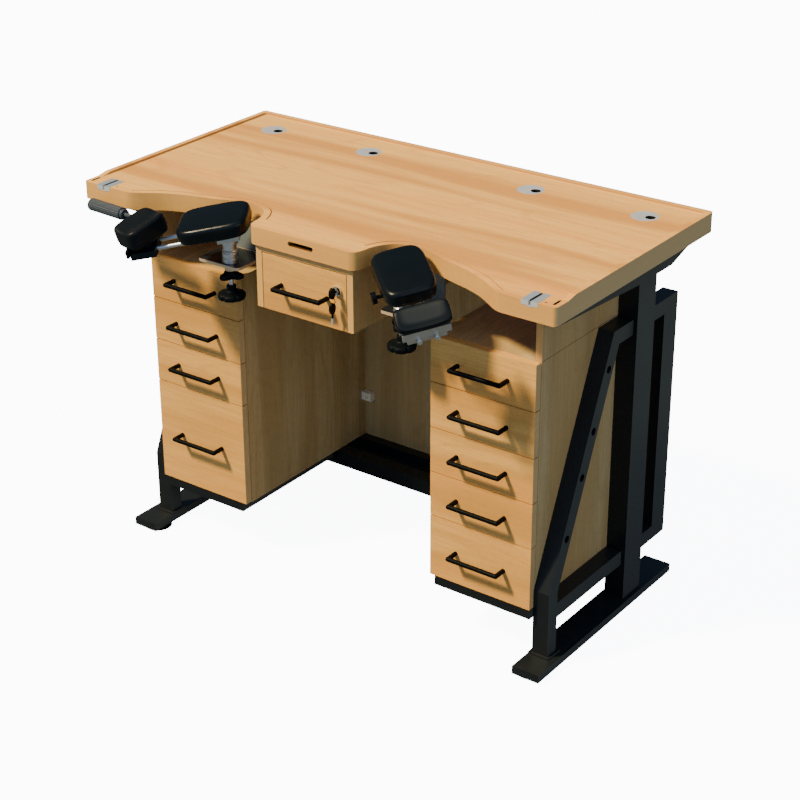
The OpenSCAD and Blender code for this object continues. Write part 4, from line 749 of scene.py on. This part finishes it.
class BENCH_OT_knobs(Operator):
    """The winged knobs that clamp the posts and the notched knobs that lift them"""

    bl_idname = "bench.knobs"
    bl_label = "Knobs"

    def execute(self, context):
        steel = context.scene.bench_steel
        plastic, zinc = plastic_material(steel), zinc_material(steel)
        for side, way in (("left", -1), ("right", 1)):
            foot = np.array([way * PIVOT[0], PIVOT[1], 0]) * MM
            points, faces = closed_rings(winged(3, math.radians(90 + way * -50), 0.0135, 0.031, 0.0125, 0.020))
            star = piece(f"star_knob_{side}_skin", points + foot + [0, 0, STAR_HEIGHT], faces, plastic,
                         f"star_knob_{side}")
            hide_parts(f"star_knob_{side}")
            points, faces = closed_rings(turned(LIFT_KNOB, 144, 6, 0.10, 0.020, 0.031))
            knob = piece(f"lower_knob_{side}_skin", points + foot + [0, 0, LIFT_HEIGHT], faces, plastic,
                         f"lower_knob_{side}")
            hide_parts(f"lower_knob_{side}")
            points, faces = closed_rings(turned(LIFT_SCREW, 32))
            piece(f"lifting_screw_{side}", points + foot + [0, 0, LIFT_HEIGHT], faces, zinc,
                  f"lower_knob_{side}")
        return {"FINISHED"}


class BENCH_OT_hand_pads(Operator):
    """The two long pads that the hands and forearms rest on"""

    bl_idname = "bench.hand_pads"
    bl_label = "Hand pads"

    def execute(self, context):
        pads = context.scene.bench_pads
        skin = pad_material(pads, "hand_pad_skin", pads.gloss)
        for side, place in ARM.items():
            rings = pad_skin(*HAND_SIZE, hand_rise(HAND_CROWN), pads.edge, pads.seam)
            points, faces = closed_rings(rings)
            points = placed(points, arm_matrix(side, (place["hand"], -place["side"], HAND_LIFT)))
            made = piece(f"hand_pad_{side}_skin", points, faces, skin, f"arm_{side}",
                         flip=side == "left")
            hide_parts(f"hand_pad_{side}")
        return {"FINISHED"}


class BENCH_OT_elbow_pads(Operator):
    """The two saddle-shaped pads that slide on the arms' rods"""

    bl_idname = "bench.elbow_pads"
    bl_label = "Elbow pads"

    def execute(self, context):
        pads = context.scene.bench_pads
        skin = pad_material(pads, "elbow_pad_skin", pads.matt)
        for side, place in ARM.items():
            long, wide, turn, shape = ELBOW[side]
            rings = pad_skin(long, wide, ELBOW_THICKNESS, elbow_rise(*shape), pads.edge, pads.seam)
            points, faces = closed_rings(rings)
            along = place["hand"] + place["elbow"] + (ELBOW_SOLID - long / MM) / 2
            points = placed(points, arm_matrix(side, (along, 0, ELBOW_LIFT), turn))
            made = piece(f"elbow_pad_{side}_skin", points, faces, skin, f"elbow_{side}",
                         flip=side == "left")
            # a painted highlight over the right elbow pad's top rings only
            highlight_share = np.zeros(len(points), dtype=np.float32)
            if side == "right":
                top = len(rings) - TOP_RINGS
                painted_highlight = np.interp(np.arange(len(rings)), (top - 2, top + 2), (0, 1))
                highlight_share[:-2] = np.repeat(painted_highlight, rings.shape[1])
                highlight_share[-1] = 1.0
            made.data.attributes.new("highlight_share", "FLOAT", "POINT").data.foreach_set("value", highlight_share)
            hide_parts(f"elbow_pad_{side}")
        return {"FINISHED"}


def floor_material(look):
    """A pale matt floor that throws back less light than it shows, so the bench's shaded sides stay deep."""
    made = bpy.data.materials.new("floor_paint")
    made.use_nodes = True
    tree = made.node_tree
    tree.nodes.clear()
    seen = add(tree, "ShaderNodeLightPath").outputs["Is Camera Ray"]
    grey = tuple(value * look.bounce for value in look.tint)
    shader = add(tree, "ShaderNodeBsdfPrincipled", {
        "Base Color": mixed(tree, seen, opaque(grey), opaque(look.floor)), "Roughness": 0.8,
        "Emission Color": opaque(look.floor), "Emission Strength": math_of(tree, "MULTIPLY", seen, look.glow)})
    add(tree, "ShaderNodeOutputMaterial", {"Surface": shader.outputs[0]})
    return made


FLOOR_REACH = 16.0
# where the light from all round is strongest, and how its strength grows towards there
SOFT_WAY = (0.30, -0.64, 0.71)
SOFT_RANGE = (0.3, 0.95, 0.62, 3.0)

# the photograph's camera: width and focal length in pixels, its centre in pixels, its place in metres,
# its turn, dip and roll in degrees, and the width of the sensor in mm
PICTURE, FOCAL = 800, 1888.14
CENTRE = (389.0, 375.48)
CAMERA_PLACE = (2.4294, -3.1999, 2.4037)
CAMERA_TURN, CAMERA_DIP, CAMERA_ROLL = 36.695, 25.23, -0.39
SENSOR = 36.0


class BENCH_OT_stage(Operator):
    """Pale floor, main light from the left front, weaker light from the right, soft light all round, camera"""

    bl_idname = "bench.stage"
    bl_label = "Stage"

    def execute(self, context):
        look = context.scene.bench_stage
        mesh = bpy.data.meshes.new("floor")
        corners = [(x * FLOOR_REACH, y * FLOOR_REACH, 0) for x, y in ((-1, -1), (1, -1), (1, 1), (-1, 1))]
        mesh.from_pydata(corners, [], [(0, 1, 2, 3)])
        floor = bpy.data.objects.new("floor", mesh)
        mesh.materials.append(floor_material(look))
        context.scene.collection.objects.link(floor)
        world = bpy.data.worlds.new("studio")
        world.use_nodes = True
        tree = world.node_tree
        sky = next(n for n in tree.nodes if n.type == "BACKGROUND")
        seen = add(tree, "ShaderNodeLightPath").outputs["Is Camera Ray"]
        tree.links.new(mixed(tree, seen, opaque(look.ambient), opaque(look.floor)), sky.inputs["Color"])
        near = add(tree, "ShaderNodeVectorMath", {
            0: add(tree, "ShaderNodeTexCoord").outputs["Generated"], 1: SOFT_WAY},
            operation="DOT_PRODUCT").outputs["Value"]
        soft = math_of(tree, "MULTIPLY", ranged(tree, near, *SOFT_RANGE), look.sky)
        tree.links.new(math_of(tree, "MAXIMUM", soft, math_of(tree, "MULTIPLY", seen, look.glow)),
                       sky.inputs["Strength"])
        context.scene.world = world
        for name, energy, angle, tone, way in (
                ("key", look.key, look.softness, (1.0, 0.82, 0.49), (23, 31, -47)),
                ("side", look.side, math.radians(40), (1.0, 0.92, 0.86), (-60, 22, -18))):
            sun = bpy.data.lights.new(name, "SUN")
            sun.energy = energy
            sun.angle = angle
            sun.color = tone
            lamp = bpy.data.objects.new(name, sun)
            lamp.rotation_euler = Vector(way).to_track_quat("-Z", "Y").to_euler()
            context.scene.collection.objects.link(lamp)
        lens = bpy.data.cameras.new("camera")
        lens.sensor_width = SENSOR
        lens.lens = FOCAL / PICTURE * SENSOR
        lens.shift_x = (PICTURE / 2 - CENTRE[0]) / PICTURE
        lens.shift_y = (CENTRE[1] - PICTURE / 2) / PICTURE
        lens.clip_start = 0.1
        lens.clip_end = 100
        camera = bpy.data.objects.new("camera", lens)
        camera.matrix_world = (Matrix.Translation(CAMERA_PLACE)
                               @ Matrix.Rotation(math.radians(CAMERA_TURN), 4, "Z")
                               @ Matrix.Rotation(math.radians(90 - CAMERA_DIP), 4, "X")
                               @ Matrix.Rotation(math.radians(CAMERA_ROLL), 4, "Z"))
        context.scene.collection.objects.link(camera)
        context.scene.camera = camera
        return {"FINISHED"}


class BENCH_PT_looks(Panel):
    """Sidebar list of the bench's looks"""

    bl_idname = "BENCH_PT_looks"
    bl_label = "Watchmakers bench"
    bl_space_type = "VIEW_3D"
    bl_region_type = "UI"
    bl_category = "Bench"

    def draw(self, context):
        for settings, operators in PANEL_ROWS:
            box = self.layout.box()
            group = getattr(context.scene, settings)
            for name in group.bl_rna.properties.keys():
                if name not in ("rna_type", "name"):
                    box.prop(group, name)
            for operator in operators:
                box.operator(operator.bl_idname)


OPERATORS = (BENCH_OT_stage, BENCH_OT_boards, BENCH_OT_steelwork, BENCH_OT_knobs, BENCH_OT_hand_pads,
             BENCH_OT_elbow_pads)
SETTINGS = {"bench_wood": BenchWood, "bench_steel": BenchSteel, "bench_pads": BenchPads, "bench_stage": BenchStage}
PANEL_ROWS = (
    ("bench_stage", (BENCH_OT_stage,)),
    ("bench_wood", (BENCH_OT_boards,)),
    ("bench_steel", (BENCH_OT_steelwork, BENCH_OT_knobs)),
    ("bench_pads", (BENCH_OT_hand_pads, BENCH_OT_elbow_pads)),
)


def register():
    """Registers the settings, the operators and the panel."""
    for made in (*SETTINGS.values(), *OPERATORS, BENCH_PT_looks):
        bpy.utils.register_class(made)
    for name, kind in SETTINGS.items():
        setattr(bpy.types.Scene, name, PointerProperty(type=kind))


def unregister():
    """Removes what register added."""
    for name in SETTINGS:
        delattr(bpy.types.Scene, name)
    for made in (BENCH_PT_looks, *reversed(OPERATORS), *SETTINGS.values()):
        bpy.utils.unregister_class(made)


def main():
    """Dresses the whole bench."""
    register()
    for operator in OPERATORS:
        group, name = operator.bl_idname.split(".")
        getattr(getattr(bpy.ops, group), name)()
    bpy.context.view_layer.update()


if __name__ == "__main__":
    main()
